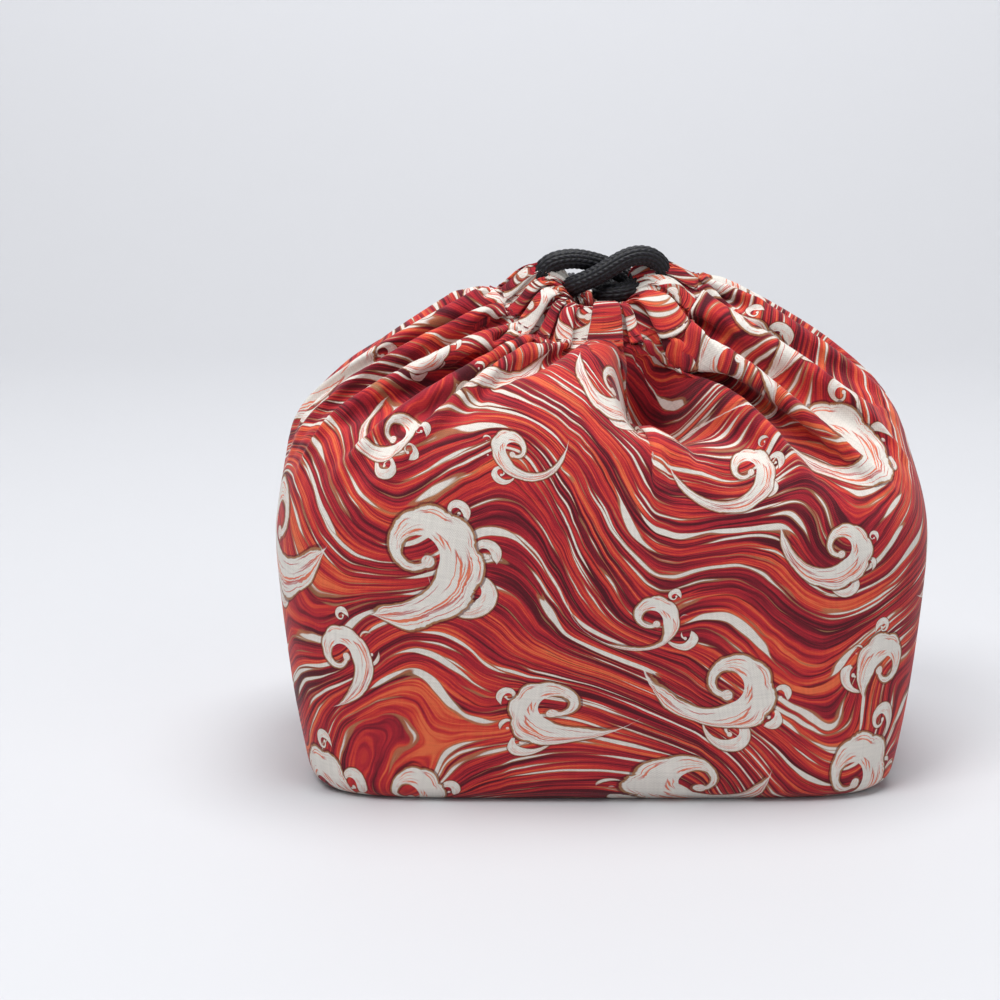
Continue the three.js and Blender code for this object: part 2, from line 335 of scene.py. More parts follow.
@dataclass(frozen=True)
class Ridge:
    """A ridge over the plan that starts at a point and runs out to the right and the front.

    Attributes:
        x: Place of its start along X.
        y: Place of its start along Y.
        cos: Cosine of its heading.
        sin: Sine of its heading.
        width: Width across it.
        lead: Length before the start where it begins to rise.
        rise: Length over which it rises.
        length: Length after the start where it ends.
        fall: Length over which it falls.
    """

    x: float
    y: float
    cos: float
    sin: float
    width: float
    lead: float
    rise: float
    length: float
    fall: float

    def at(self, x: np.ndarray, y: np.ndarray) -> tuple[np.ndarray, np.ndarray]:
        """Work out the ridge's height.

        Args:
            x: Places along X.
            y: Places along Y.

        Returns:
            Its share along its length and its share across its width; the height is their product.
        """
        aside = ((x - self.x) * self.sin + (y - self.y) * self.cos) / self.width
        along = (x - self.x) * self.cos - (y - self.y) * self.sin
        begun = np.clip((along + self.lead) / self.rise, 0, 1)
        left = np.clip((self.length - along) / self.fall, 0, 1)
        return begun * left, np.exp(-(aside**2))


class Value:
    """A shader value with arithmetic: each operation adds a math node.

    Args:
        graph: Node graph that the value is in.
        socket: Output socket that gives the value.
    """

    def __init__(self, graph: "Graph", socket: bpy.types.NodeSocket) -> None:
        """Keep the graph and socket."""
        self.graph = graph
        self.socket = socket

    def _math(self, operation: str, *others: Any) -> "Value":
        """Add a math node.

        Args:
            operation: Name of the node's operation.
            others: Operands, this value among them in its place.

        Returns:
            The node's result.
        """
        inputs = dict(enumerate(others))
        return self.graph.node("ShaderNodeMath", {"operation": operation}, inputs)

    def __add__(self, other: Any) -> "Value":
        """Return the sum."""
        return self._math("ADD", self, other)

    __radd__ = __add__

    def __sub__(self, other: Any) -> "Value":
        """Return the difference."""
        return self._math("SUBTRACT", self, other)

    def __rsub__(self, other: Any) -> "Value":
        """Return the difference with the operands swapped."""
        return self._math("SUBTRACT", other, self)

    def __mul__(self, other: Any) -> "Value":
        """Return the product."""
        return self._math("MULTIPLY", self, other)

    __rmul__ = __mul__

    def __truediv__(self, other: Any) -> "Value":
        """Return the quotient."""
        return self._math("DIVIDE", self, other)

    def __rtruediv__(self, other: Any) -> "Value":
        """Return the quotient with the operands swapped."""
        return self._math("DIVIDE", other, self)

    def __abs__(self) -> "Value":
        """Return the size without its sign."""
        return self._math("ABSOLUTE", self)

    def fract(self) -> "Value":
        """Return the part after the point."""
        return self._math("FRACT", self)

    def sine(self) -> "Value":
        """Return the sine."""
        return self._math("SINE", self)

    def log(self) -> "Value":
        """Return the natural logarithm."""
        return self._math("LOGARITHM", self, math.e)

    def exponent(self) -> "Value":
        """Return e to the power of the value."""
        return self._math("EXPONENT", self)

    def root(self) -> "Value":
        """Return the square root."""
        return self._math("SQRT", self)

    def rounded(self) -> "Value":
        """Return the nearest whole number."""
        return self._math("ROUND", self)

    def angle(self, along: "Value") -> "Value":
        """Return the angle of the point with this height and the given distance along."""
        return self._math("ARCTAN2", self, along)

    def at_most(self, other: Any) -> "Value":
        """Return the smaller of two values."""
        return self._math("MINIMUM", self, other)

    def at_least(self, other: Any) -> "Value":
        """Return the larger of two values."""
        return self._math("MAXIMUM", self, other)

    def between(self, low: float, high: float) -> "Value":
        """Return a smooth step from 0 at low to 1 at high."""
        inputs = {"Value": self, "From Min": low, "From Max": high, "To Min": 0.0, "To Max": 1.0}
        settings = {"interpolation_type": "SMOOTHSTEP"}
        if low > high:
            inputs.update({"From Min": high, "From Max": low, "To Min": 1.0, "To Max": 0.0})
        return self.graph.node("ShaderNodeMapRange", settings, inputs)


class Graph:
    """The node graph of one material.

    Args:
        name: Name of the material.
    """

    def __init__(self, name: str) -> None:
        """Start a material with a plain shader."""
        self.material = bpy.data.materials.new(name)
        self.material.use_nodes = True
        self.tree = self.material.node_tree
        self.shader = self.tree.nodes["Principled BSDF"]

    def node(
        self, kind: str, settings: dict[str, Any], inputs: dict[Any, Any], out: Any = 0
    ) -> Value:
        """Add a node.

        Args:
            kind: Type name of the node.
            settings: Properties to set on it.
            inputs: Input sockets by name or number, each a Value or a constant.
            out: Name or number of the output socket to return.

        Returns:
            The chosen output as a Value.
        """
        made = self.tree.nodes.new(kind)
        for key, setting in settings.items():
            setattr(made, key, setting)
        for key, given in inputs.items():
            if isinstance(given, Value):
                self.tree.links.new(given.socket, made.inputs[key])
            else:
                made.inputs[key].default_value = given
        return Value(self, made.outputs[out])

    def attribute(self, name: str, out: str = "Fac") -> Value:
        """Read a value kept at the mesh's points.

        Args:
            name: Name of the mesh attribute.
            out: Output to read, Fac for a number or Vector for a vector.

        Returns:
            The attribute's value.
        """
        settings = {"attribute_type": "GEOMETRY", "attribute_name": name}
        return self.node("ShaderNodeAttribute", settings, {}, out)

    def vector(self, x: Any, y: Any, z: Any) -> Value:
        """Put three numbers together.

        Args:
            x: First number.
            y: Second number.
            z: Third number.

        Returns:
            The vector.
        """
        return self.node("ShaderNodeCombineXYZ", {}, {"X": x, "Y": y, "Z": z})

    def parts(self, vector: Value) -> list[Value]:
        """Return the three numbers of a vector."""
        return [self.node("ShaderNodeSeparateXYZ", {}, {0: vector}, axis) for axis in "XYZ"]

    def noise(self, place: Value, scale: float, detail: float = 2.0, rough: float = 0.5) -> Value:
        """Read smooth noise.

        Args:
            place: Where to read it.
            scale: Scale of the noise.
            detail: Number of finer layers.
            rough: Share of each finer layer.

        Returns:
            Noise around 0.5.
        """
        inputs = {"Vector": place, "Scale": scale, "Detail": detail, "Roughness": rough}
        return self.node("ShaderNodeTexNoise", {}, inputs)

    def mix(self, share: Any, first: Any, second: Any) -> Value:
        """Mix two colours.

        Args:
            share: Share of the second colour.
            first: First colour.
            second: Second colour.

        Returns:
            The mixed colour.
        """
        return self.node("ShaderNodeMix", {"data_type": "RGBA"}, {0: share, 6: first, 7: second}, 2)

    def ramp(self, share: Value, stops: list[tuple[float, Colour]]) -> Value:
        """Read a colour ramp.

        Args:
            share: Place on the ramp.
            stops: Place and colour of each stop.

        Returns:
            The colour.
        """
        found = self.node("ShaderNodeValToRGB", {}, {0: share})
        band = found.socket.node.color_ramp
        for place, _ in stops[2:]:
            band.elements.new(place)
        for element, (place, colour) in zip(band.elements, stops):
            element.position = place
            element.color = colour
        return found

    def finish(self, **sockets: Any) -> bpy.types.Material:
        """Set the shader's sockets.

        Args:
            sockets: Values by socket name, with underscores for spaces.

        Returns:
            The material.
        """
        for key, given in sockets.items():
            socket = self.shader.inputs[key.replace("_", " ")]
            if isinstance(given, Value):
                self.tree.links.new(given.socket, socket)
            else:
                socket.default_value = given
        return self.material

    def bump(self, height: Value, strength: float, distance: float) -> Value:
        """Turn a height into a normal.

        Args:
            height: Height field.
            strength: Share of the effect.
            distance: Height in metres of one unit.

        Returns:
            The normal.
        """
        inputs = {"Height": height, "Strength": strength, "Distance": distance}
        return self.node("ShaderNodeBump", {}, inputs)


@dataclass(frozen=True)
class Weave:
    """Plain weave of a cotton cloth.

    Attributes:
        pitch: Distance between threads in millimetres.
        relief: Height of the threads in metres.
    """

    pitch: float = 0.95
    relief: float = 0.00016

    def height(self, graph: Graph, u: Value, v: Value) -> Value:
        """Make the height of the threads.

        Args:
            graph: Graph to build in.
            u: Place along the flat cloth in millimetres.
            v: Place up the flat cloth in millimetres.

        Returns:
            A height around zero.
        """
        turn = 2 * math.pi / self.pitch
        warp = graph.noise(graph.vector(u * 1.1, v * 0.06, 0.0), 1.0, 1.0) - 0.5
        weft = graph.noise(graph.vector(u * 0.06, v * 1.1, 7.0), 1.0, 1.0) - 0.5
        threads = (u * turn).sine() * (v * turn).sine()
        return threads * 0.35 + warp * 1.2 + weft * 1.2


@dataclass(frozen=True)
class CurlStyle:
    """How one size of curl is drawn.

    Attributes:
        name: Mesh attribute with the place in the nearest curl's own measure.
        stout: Half width of the curl's back as a share of its radius.
        scallop: Share by which the outer edge bulges.
        lead: Where the lead starts, in half turns.
        end: Angle of the bulb in radians.
        bend: Rate at which the spiral tightens.
        open: Rate at which the lead opens out.
        streaked: Strength of the streaks along the body.
        taper: Room in millimetres below which the arm thins.
    """

    name: str
    stout: float
    scallop: float
    lead: float
    end: float = 1.7 * math.pi
    bend: float = 0.185
    open: float = 0.06
    streaked: float = 0.92
    taper: float = 10.0


@dataclass(frozen=True)
class PrintedCotton:
    """Cotton printed with red streams and pale foam curls.

    Attributes:
        name: Name of the material.
        cream: Colour of the unprinted cloth.
        gold: Colour of the thin outlines.
        reds: Colours of the streams from dark to light.
        weave: Weave of the cloth.
        styles: How the small and the large curls are drawn.
    """

    name: str = "outer_cloth"
    cream: Colour = linear(219, 214, 206)
    gold: Colour = linear(158, 112, 76)
    reds: tuple[Colour, ...] = (
        linear(78, 14, 26),
        linear(126, 22, 38),
        linear(172, 34, 46),
        linear(200, 58, 46),
        linear(218, 104, 64),
    )
    weave: Weave = field(default_factory=Weave)
    styles: tuple[CurlStyle, ...] = (
        CurlStyle("hook", 0.50, 0.0, -0.85, streaked=0.5, taper=3.4),
        CurlStyle("wave", 0.52, 0.3, -1.5),
    )

    def material(self) -> bpy.types.Material:
        """Build the material.

        Returns:
            The finished material.
        """
        graph = Graph(self.name)
        flat = graph.attribute("flat", "Vector")
        u, v, _ = graph.parts(flat)
        wander = graph.noise(flat, 0.035, 2.0) - 0.5
        psi = graph.attribute("stream") + wander * 6.0
        broad = graph.noise(graph.vector(psi * 0.16, u * 0.010, v * 0.010), 1.0, 2.0)
        band = graph.noise(graph.vector(psi * 0.50, u * 0.014, v * 0.014), 1.0, 2.0, 0.6)
        brush = graph.noise(graph.vector(psi * 2.1, u * 0.035, v * 0.035), 1.0, 2.0, 0.6)
        tone = (broad - 0.5) * 1.1 + (band - 0.5) * 1.3 + (brush - 0.5) * 0.75 + 0.5
        stops = list(zip((0.20, 0.36, 0.52, 0.66, 0.82), self.reds))
        colour = graph.ramp(tone, stops)
        dark = (band - (brush - 0.5) * 0.5).between(0.40, 0.34)
        colour = graph.mix(dark * 0.75, colour, self.reds[0])
        dashes = self._lines(graph, psi, u, v, 3.1, 0.16, 23.0)
        colour = graph.mix(dashes.between(-0.15, 0.1) * 0.8, colour, self.reds[0])
        for pitch, width, seed in ((4.7, 0.30, 3.0), (9.5, 0.62, 11.0)):
            stroke = self._lines(graph, psi, u, v, pitch, width, seed)
            colour = graph.mix(stroke.between(-0.55, -0.25) * 0.7, colour, self.gold)
            colour = graph.mix(stroke.between(-0.10, 0.15) * 0.94, colour, self.cream)
        for style in self.styles:
            colour = self._curls(graph, colour, flat, style)
        height = self.weave.height(graph, u, v)
        grain = (height * 0.20 + 1.0).at_most(1.18).at_least(0.74)
        grey = graph.node("ShaderNodeCombineColor", {}, {0: grain, 1: grain, 2: grain})
        settings = {"data_type": "RGBA", "blend_type": "MULTIPLY"}
        colour = graph.node("ShaderNodeMix", settings, {0: 1.0, 6: colour, 7: grey}, 2)
        normal = graph.bump(height, 0.55, self.weave.relief)
        return graph.finish(
            Base_Color=colour, Roughness=0.88, Normal=normal, Specular_IOR_Level=0.25, Sheen_Weight=0.12
        )

    def _lines(
        self, graph: Graph, psi: Value, u: Value, v: Value, pitch: float, width: float, seed: float
    ) -> Value:
        """Draw thin broken lines along the streams.

        Args:
            graph: Graph to build in.
            psi: Stream value, in millimetres across the flow.
            u: Place along the cloth.
            v: Place up the cloth.
            pitch: Distance between lines.
            width: Half width of a line.
            seed: Number that sets these lines apart from others.

        Returns:
            Distance inside the line's edge, less than zero outside.
        """
        place = graph.vector(psi * 0.09, u * 0.016 + seed, v * 0.016)
        drift = graph.noise(place, 1.0, 1.0)
        turn = psi * (1.0 / pitch) + drift * 1.4
        away = abs(turn.fract() - 0.5) * pitch
        swell = graph.noise(graph.vector(u * 0.03, v * 0.03, psi * 0.12 + seed), 1.0, 1.0)
        half = swell.between(0.42, 0.74) * (2.6 * width + 0.5) - 0.5
        return half - away

    def _curls(self, graph: Graph, colour: Value, flat: Value, style: CurlStyle) -> Value:
        """Lay breaking curls over the streams.

        A curl is the arm of a spiral whose radius is e to the power -b phi, opening faster by
        c phi phi on its lead, where phi is less than zero. The arm's half width grows from
        nothing at the lead to its stoutest on the curl's back and thins towards the middle, where
        a round bulb ends it. The outer edge is scalloped, and thin streaks follow the arm.

        Args:
            graph: Graph to build in.
            colour: Colour of the streams.
            flat: Place on the flat cloth.
            style: Which curls, and how they are drawn.

        Returns:
            The colour with the curls.
        """
        place = graph.attribute(style.name, "Vector")
        x, y, room = graph.parts(place)
        ragged = (graph.noise(flat, 0.45, 2.0) - 0.5) * 0.07
        square = x * x + y * y
        theta = y.angle(x)
        grow = square.log() * 0.5
        inside = grow.at_least(0.0) * (4 * style.open) + style.bend**2
        wide = (style.bend - inside.root()) * (0.5 / style.open)
        turns = wide - grow.at_most(0.0) * (1.0 / style.bend) - theta
        phi = theta + (turns * (0.5 / math.pi)).rounded() * (2 * math.pi)
        before = phi.at_most(0.0)
        arm = (before * before * style.open - phi * style.bend).exponent()
        off = square.root() - arm + ragged
        grown = phi.between(style.lead * math.pi, 0.1 * math.pi)
        worn = phi.between(0.1 * math.pi, 1.15 * math.pi)
        free = room.between(1.4, 2.4)
        roomy = room.between(1.5, style.taper)
        half = grown * roomy * (1.0 - worn * 0.62) * arm.at_most(1.25) * style.stout
        outer = off.between(-0.02, 0.02)
        swell = abs((phi * 4.2 + ragged * 20.0).sine()) * grown * (1.0 - worn) * style.scallop
        half = half * (1.0 + outer * swell)
        depth = half - abs(off)
        depth = depth.at_most((phi - style.lead * math.pi) * 0.4).at_most((style.end - phi) * 0.3)
        away = math.exp(-style.bend * style.end)
        dx, dy = x - away * math.cos(style.end), y - away * math.sin(style.end)
        bulb = 0.17 - (dx * dx + dy * dy).root() + ragged
        depth = depth.at_least(bulb)
        stout = free * half.between(0.02, 0.12)
        colour = graph.mix(depth.between(-0.13, -0.10) * stout * 0.7, colour, self.reds[0])
        colour = graph.mix(depth.between(-0.07, -0.045) * stout * 0.9, colour, self.gold)
        colour = graph.mix(depth.between(-0.015, 0.02) * free, colour, self.cream)
        across = off / half.at_least(0.03)
        strand = graph.noise(graph.vector(across * 2.2, phi * 0.3, 0.0), 1.0, 2.0, 0.6)
        broken = graph.noise(graph.vector(across * 1.6, phi * 0.8, 5.0), 1.0, 1.0)
        line = (0.075 - abs((strand * 4.6).fract() - 0.5) * 0.5).between(-0.03, 0.03)
        line = line * (broken - grown * 0.16).between(0.28, 0.40) * depth.between(0.015, 0.05) * free
        hue = graph.mix(broken.between(0.46, 0.60), self.reds[2], self.reds[4])
        return graph.mix(line * style.streaked, colour, hue)


@dataclass(frozen=True)
class PlainCotton:
    """Plain lining cotton.

    Attributes:
        name: Name of the material.
        colour: Colour of the cloth.
    """

    name: str = "lining_cloth"
    colour: Colour = linear(237, 230, 215)

    def material(self) -> bpy.types.Material:
        """Build the material.

        Returns:
            The finished material.
        """
        graph = Graph(self.name)
        flat = graph.attribute("flat", "Vector")
        mottle = graph.noise(flat, 0.8, 3.0)
        darker = tuple(c * 0.7 for c in self.colour[:3]) + (1.0,)
        colour = graph.mix(mottle, darker, self.colour)
        return graph.finish(Base_Color=colour, Roughness=0.92, Specular_IOR_Level=0.2)


@dataclass(frozen=True)
class BraidedYarn:
    """Black braided yarn of the cords.

    Attributes:
        name: Name of the material.
        groove_shade: Painted shade deep between strands, near black.
        crest: Colour on the strands.
    """

    name: str = "cord"
    groove_shade: Colour = linear(2, 2, 4)
    crest: Colour = linear(22, 22, 33)

    def material(self) -> bpy.types.Material:
        """Build the material.

        Returns:
            The finished material.
        """
        graph = Graph(self.name)
        relief = graph.attribute("relief")
        flat = graph.attribute("flat", "Vector")
        fibre = graph.noise(flat, 3.0, 2.0)
        # Painted shade: where the braid's relief is low, between the strands, the yarn is darkened to
        # near black; the strands keep the yarn's own colour.
        sharp = relief.between(0.35, 1.0)
        colour = graph.mix(sharp * (fibre * 0.8 + 0.6), self.groove_shade, self.crest)
        normal = graph.bump(fibre, 0.5, 0.00015)
        return graph.finish(
            Base_Color=colour, Roughness=0.5, Normal=normal, Specular_IOR_Level=0.4, Sheen_Weight=0.06
        )


@dataclass(frozen=True)
class SewingThread:
    """Thread of the casing's stitches.

    Attributes:
        name: Name of the material.
        colour: Colour of the thread.
    """

    name: str = "thread"
    colour: Colour = linear(120, 26, 34)

    def material(self) -> bpy.types.Material:
        """Build the material.

        Returns:
            The finished material.
        """
        graph = Graph(self.name)
        return graph.finish(Base_Color=self.colour, Roughness=0.6)


@dataclass
class Gathers:
    """The pleats that the drawn cords press the mouth into.

    Attributes:
        pleats: Pleats in the back half.
        swing: Largest angle in radians between the gathered edge and the ring.
        seed: Seed of the uneven pleat widths.
        ring_x: Half width of the cord ring.
        ring_y: Half depth of the cord ring.
        level: Height of the cord ring at the front.
        side_rise: How much higher the ring is at the sides.
        depth: Depth of the pleats where the wall meets the casing.
        oval: How much wider than deep the mouth opens out below the rim.
        sway: Angle in radians by which a pleat leans over at the rim.
        settle: Share by which heights shrink at the sides.
        tilt: How much the rim rises to the right for each millimetre below its top.
        front_widths: Relative widths of the front pleats from left to right.
    """

    pleats: int = 10
    swing: float = 1.95
    seed: int = 11
    ring_x: float = 17.5
    ring_y: float = 11.5
    level: float = 164.0
    side_rise: float = 19.3
    depth: float = 8.0
    oval: float = 1.45
    sway: float = 0.10
    settle: float = 0.45
    tilt: float = 0.2
    front_widths: tuple[float, ...] = (0.9, 0.75, 1.0, 0.7, 0.95, 1.6, 0.65, 1.75, 1.0, 0.9)

    def columns(self, share: np.ndarray) -> tuple[np.ndarray, np.ndarray, np.ndarray]:
        """Find where each share of the flat cloth comes to lie round the ring.

        Along each pleat the edge's heading swings as swing times sin(2 pi f), so the pleat is a
        rounded loop; the way round and out are the sums of the heading's cosine and sine.

        Args:
            share: Place along the flat cloth from 0 to 1, from the left side by the front.

        Returns:
            Angle round the ring, share of the pleat's depth, and the pleat's own lean from -1 to 1.
        """
        random = np.random.default_rng(self.seed)
        front = np.array(self.front_widths)
        back = random.uniform(0.62, 1.5, self.pleats)
        widths = np.concatenate([front / front.sum(), back / back.sum()]) * 0.5
        ends = np.concatenate([[0.0], np.cumsum(widths)])
        fine = (np.arange(40000) + 0.5) / 40000
        place = np.clip(np.searchsorted(ends, fine, side="right") - 1, 0, len(widths) - 1)
        f = (fine - ends[place]) / widths[place]
        heading = self.swing * np.sin(2 * np.pi * f)
        way = np.cumsum(np.cos(heading))
        out = np.cumsum(np.sin(heading))
        half = len(way) // 2
        turn = way[half - 1]
        behind = 0.5 + (way - turn) / (way[-1] - turn) * 0.5
        way = np.where(np.arange(len(way)) < half, way / turn * 0.5, behind)
        deep = (out - out.min()) / (out.max() - out.min())
        mood = random.uniform(-1, 1, len(widths))[place] * np.sin(np.pi * f)
        wrapped = np.mod(share, 1.0)
        angle = np.pi + 2 * np.pi * np.interp(wrapped, fine, way)
        angle = angle + 2 * np.pi * np.floor(share)
        return angle, np.interp(wrapped, fine, deep), np.interp(wrapped, fine, mood)

    def place(
        self, share: np.ndarray, offset: float, pleat: float, height: float, lift: float
    ) -> np.ndarray:
        """Put points of the cloth round the ring.

        The distance from the ring is offset + pleat times the depth's share, and the height above
        it is height + lift times the depth's share.

        Args:
            share: Place along the flat cloth.
            offset: Distance outside the ring in the valleys.
            pleat: Depth of the pleats.
            height: Height over the ring in the valleys.
            lift: Extra height on the crests.

        Returns:
            Points in millimetres.
        """
        angle, deep, mood = self.columns(share)
        peak = (1 - np.abs(np.sin(angle))) ** SIDE_POWER
        out = offset + pleat * deep
        high = max(height + 8.0, 0.0) / 14.0
        angle = angle + self.sway * high * mood
        level = self.level + self.side_rise * peak
        tall = 1 - self.settle * peak
        level = level + self.tilt * np.clip(8.0 - height, 0, 13) * np.cos(angle)
        x = (self.ring_x + self.oval * out) * np.cos(angle)
        y = (self.ring_y + out) * np.sin(angle)
        up = height + lift * deep * (1 + 0.5 * mood) + 0.8 * mood * max(height, 0.0) / 6.0
        return np.stack([x, y, level + up * tall], axis=-1)


@dataclass
class Filling:
    """The soft contents that hold the bag open, used as the shape the cloth is drawn over.

    Attributes:
        hollow: Where the filling gives way at the front.
        swelling: Where it bulges beside that.
        rows: Half width, half depth, squareness, height at the front, height at the sides and drop
            at the corners of each level.
    """

    hollow: Bell = Bell(25, -46, 15, 13)
    swelling: Bell = Bell(-26, -50, 18, 15)
    rows: np.ndarray = field(
        default_factory=lambda: np.array(
            [
                [103.5, 68, 7.0, 0, 0, 0],
                [108.5, 72, 6.5, 5, 5, 0],
                [111, 73.2, 6.2, 13, 13, 0],
                [116, 74.5, 5.4, 38, 38, 0],
                [121.5, 75, 4.4, 82, 82, 0],
                [121, 75, 4.0, 101, 101, 1],
                [116.5, 72.5, 3.6, 118, 120, 6],
                [109, 67, 3.1, 133, 137, 10],
                [89, 56, 2.6, 143, 152.5, 10],
                [66, 44, 2.3, 147.5, 164.5, 7],
                [50, 34, 2.1, 152.5, 172, 3],
                [39, 26.5, 2.0, 157, 177, 0],
                [8, 6, 2.0, 157, 177, 0],
            ],
            dtype=float,
        )
    )

    def surface(self, inset: float, cols: int, dented: bool) -> np.ndarray:
        """Make the filling's surface.

        Each level is a squared oval: x = a sign(c) |c| to the power 2 / n and the same for y with
        the sine; its height runs from the front value to the side value with (1 - |sin|) to the
        power 1.3, less the corner drop times sin(2 phi) squared.

        Args:
            inset: How far the surface lies inside the cloth.
            cols: Columns round the bag.
            dented: Whether the hollow and the swelling at the front are put in.

        Returns:
            Points as rows by columns by three.
        """
        v = spline(self.rows, np.linspace(0, len(self.rows) - 1, 4 * len(self.rows) - 3), False)
        phi = np.pi + 2 * np.pi * np.arange(cols) / cols
        c, s = np.cos(phi), np.sin(phi)
        power = 2 / v[:, 2:3]
        x = (v[:, 0:1] - inset) * np.sign(c) * np.abs(c) ** power
        y = (v[:, 1:2] - inset) * np.sign(s) * np.abs(s) ** power
        rise = (v[:, 4:5] - v[:, 3:4]) * (1 - np.abs(s)) ** SIDE_POWER
        z = v[:, 3:4] + rise - v[:, 5:6] * np.sin(2 * phi) ** 2
        z = z - inset * np.clip((v[:, 3:4] - 90) / 60, 0, 1)
        if dented:
            high = np.clip((z - 100) / 20, 0, 1)
            hollow = high * self.hollow.at(x, y)
            swell = high * self.swelling.at(x, y)
            z = z - 20 * hollow + 5 * swell
            y = y + 7 * hollow
            shoulder = np.clip((z - 95) / 30, 0, 1) * np.clip((-y - 20) / 30, 0, 1)
            z = z - 7 * shoulder * np.tanh((x - 12) / 45)
        return np.stack([x, y, z], axis=-1)


@dataclass
class DrawnCloth:
    """The outer cloth, cut flat and then drawn closed over the filling.

    Attributes:
        cols: Columns of the simulated cloth.
        rows: Rows of the simulated cloth.
        slack: Spare length of the wall over the filling.
        scale: Size of the simulated cloth in metres per millimetre.
        frames: Frames of the simulation.
        draw: Frame at which the mouth is fully drawn.
        bending: Stiffness of the cloth against bending.
        pressure: Pressure from inside.
        gravity: Pull of gravity during the simulation.
        calm_from: Height up to which the folds are evened out.
        calm_over: Height over which they come back.
        filling: What the cloth is drawn over.
        gathers: The pleats at the mouth.
    """

    cols: int = 184
    rows: int = 58
    slack: float = 1.05
    scale: float = 0.01
    frames: int = 64
    draw: int = 42
    bending: float = 3.0
    pressure: float = 0.02
    gravity: float = -3.0
    calm_from: float = 104.0
    calm_over: float = 30.0
    filling: Filling = field(default_factory=Filling)
    gathers: Gathers = field(default_factory=Gathers)

    def shares(self) -> np.ndarray:
        """Return each column's place along the flat cloth, from 0 to 1."""
        return np.arange(self.cols) / self.cols

    def neck(self, share: np.ndarray) -> np.ndarray:
        """Return the drawn line where the wall meets the casing."""
        return self.gathers.place(share, 11.0, self.gathers.depth, -4.3, 0.0)

    def tailored(self) -> np.ndarray:
        """Cut the flat cloth to the filling.

        Up to the widest level the cloth has the filling's own shape; above it every column rises
        straight, by the slack times the way that is left over the filling to the neck.

        Returns:
            Points as rows by columns by three, before the mouth is drawn.
        """
        skin = self.filling.surface(0.0, 384, False)
        edges = np.linalg.norm(np.roll(skin, -1, axis=1) - skin, axis=-1)
        rounds = edges.sum(axis=1)
        wide = int(np.argmax(rounds))
        way = np.concatenate([[0.0], np.cumsum(edges[wide])])[:-1] / rounds[wide]
        column = np.interp(self.shares(), np.append(way, 1.0), np.arange(385.0))
        picked = np.swapaxes(spline(np.swapaxes(skin, 0, 1), column, True), 0, 1)
        self.skin = picked
        over = np.concatenate([self.foot()[None], picked[:-8], self.neck(self.shares())[None]])
        steps = np.linalg.norm(np.diff(over, axis=0), axis=-1)
        climb = np.concatenate([np.zeros((1, self.cols)), np.cumsum(steps, axis=0)])
        left = np.concatenate([climb[-1] - climb[wide + 1]] * 3)
        left = np.convolve(left, np.ones(15) / 15, mode="same")[self.cols : 2 * self.cols]
        lengths = climb[wide + 1] + left * self.slack
        straight = over[wide + 1] + np.array([0.0, 0.0, 300.0])
        knots = np.concatenate([over[: wide + 2], straight[None]])
        marks = np.concatenate([climb[: wide + 2], climb[wide + 1 : wide + 2] + 300.0])
        rows = np.linspace(0, 1, self.rows)[:, None] * lengths[None]
        self.round, self.length = float(rounds[wide]), float(lengths.mean())
        self.over, self.climb, self.lengths = over, climb, lengths
        return self._read(rows, marks, knots)

    def foot(self) -> np.ndarray:
        """Return the line under the bag where the wall meets the base."""
        base = self.skin[0].copy()
        base[:, :2] *= np.array([96.0 / 103.5, 60.5 / 68.0])
        base[:, 2] = 0.95
        return base

    def simulate(self, rest: np.ndarray) -> np.ndarray:
        """Draw the mouth closed over the filling with a cloth simulation.

        Args:
            rest: The cloth before it is drawn.

        Returns:
            Points as rows by columns by three, in millimetres.
        """
        scene = bpy.context.scene
        drawn = rest.copy()
        drawn[-2] = self.neck(self.shares())
        drawn[-1] = self.gathers.place(self.shares(), 8.6, self.gathers.depth, -1.2, 0.0)
        ring = self.filling.surface(2.4, 96, True)
        helpers = [self._collider("filling", ring, 0.012), self._ground()]
        bag = self._ring_mesh("drawn_cloth", rest)
        bag.shape_key_add(name="rest")
        key = bag.shape_key_add(name="drawn")
        key.data.foreach_set("co", (drawn * self.scale).astype(np.float32).ravel())
        key.value = 0.0
        key.keyframe_insert("value", frame=1)
        key.value = 1.0
        key.keyframe_insert("value", frame=self.draw)
        held = bag.vertex_groups.new(name="held")
        last_row = self.rows * self.cols
        held.add(list(range(self.cols)), 1.0, "REPLACE")
        held.add(list(range(last_row - 2 * self.cols, last_row)), 1.0, "REPLACE")
        self._set_cloth(bag)
        gravity = tuple(scene.gravity)
        scene.gravity = (0.0, 0.0, self.gravity)
        for step in range(1, self.frames + 1):
            scene.frame_set(step)
        done = bag.evaluated_get(bpy.context.evaluated_depsgraph_get())
        points = np.empty(last_row * 3, dtype=np.float32)
        done.data.vertices.foreach_get("co", points)
        for helper in helpers + [bag]:
            bpy.data.objects.remove(helper, do_unlink=True)
        scene.gravity = gravity
        scene.frame_set(1)
        done = points.astype(float).reshape(self.rows, self.cols, 3) / self.scale
        settled = eased((np.arange(self.rows) - 1.5) / 6.0)[:, None, None]
        return self._calmed(rest * (1 - settled) + done * settled)

    def _calmed(self, grid: np.ndarray) -> np.ndarray:
        """Even out the folds below the shoulders, where the filling holds the cloth smooth.

        The way that the cloth stands off the filling's skin is averaged round the bag below the
        shoulders, a little on the middle pleat, and left as it is elsewhere.

        Args:
            grid: The simulated cloth.

        Returns:
            The calmed cloth.
        """
        share = np.linspace(0, 1, self.rows)[:, None] * self.lengths[None]
        skin = self._read(share, self.climb, self.over)
        off = grid - skin
        even = self._averaged(off, 8.0)
        near = self._averaged(off, 3.5)
        x, y = grid[..., :1], grid[..., 1:2]
        middle = np.exp(-((x / 15) ** 2)) * np.clip((-y - 25) / 8, 0, 1)
        off = off + (near - off) * middle
        keep = eased((grid[..., 2:] - self.calm_from) / self.calm_over)
        return skin + even * (1 - keep) + off * keep

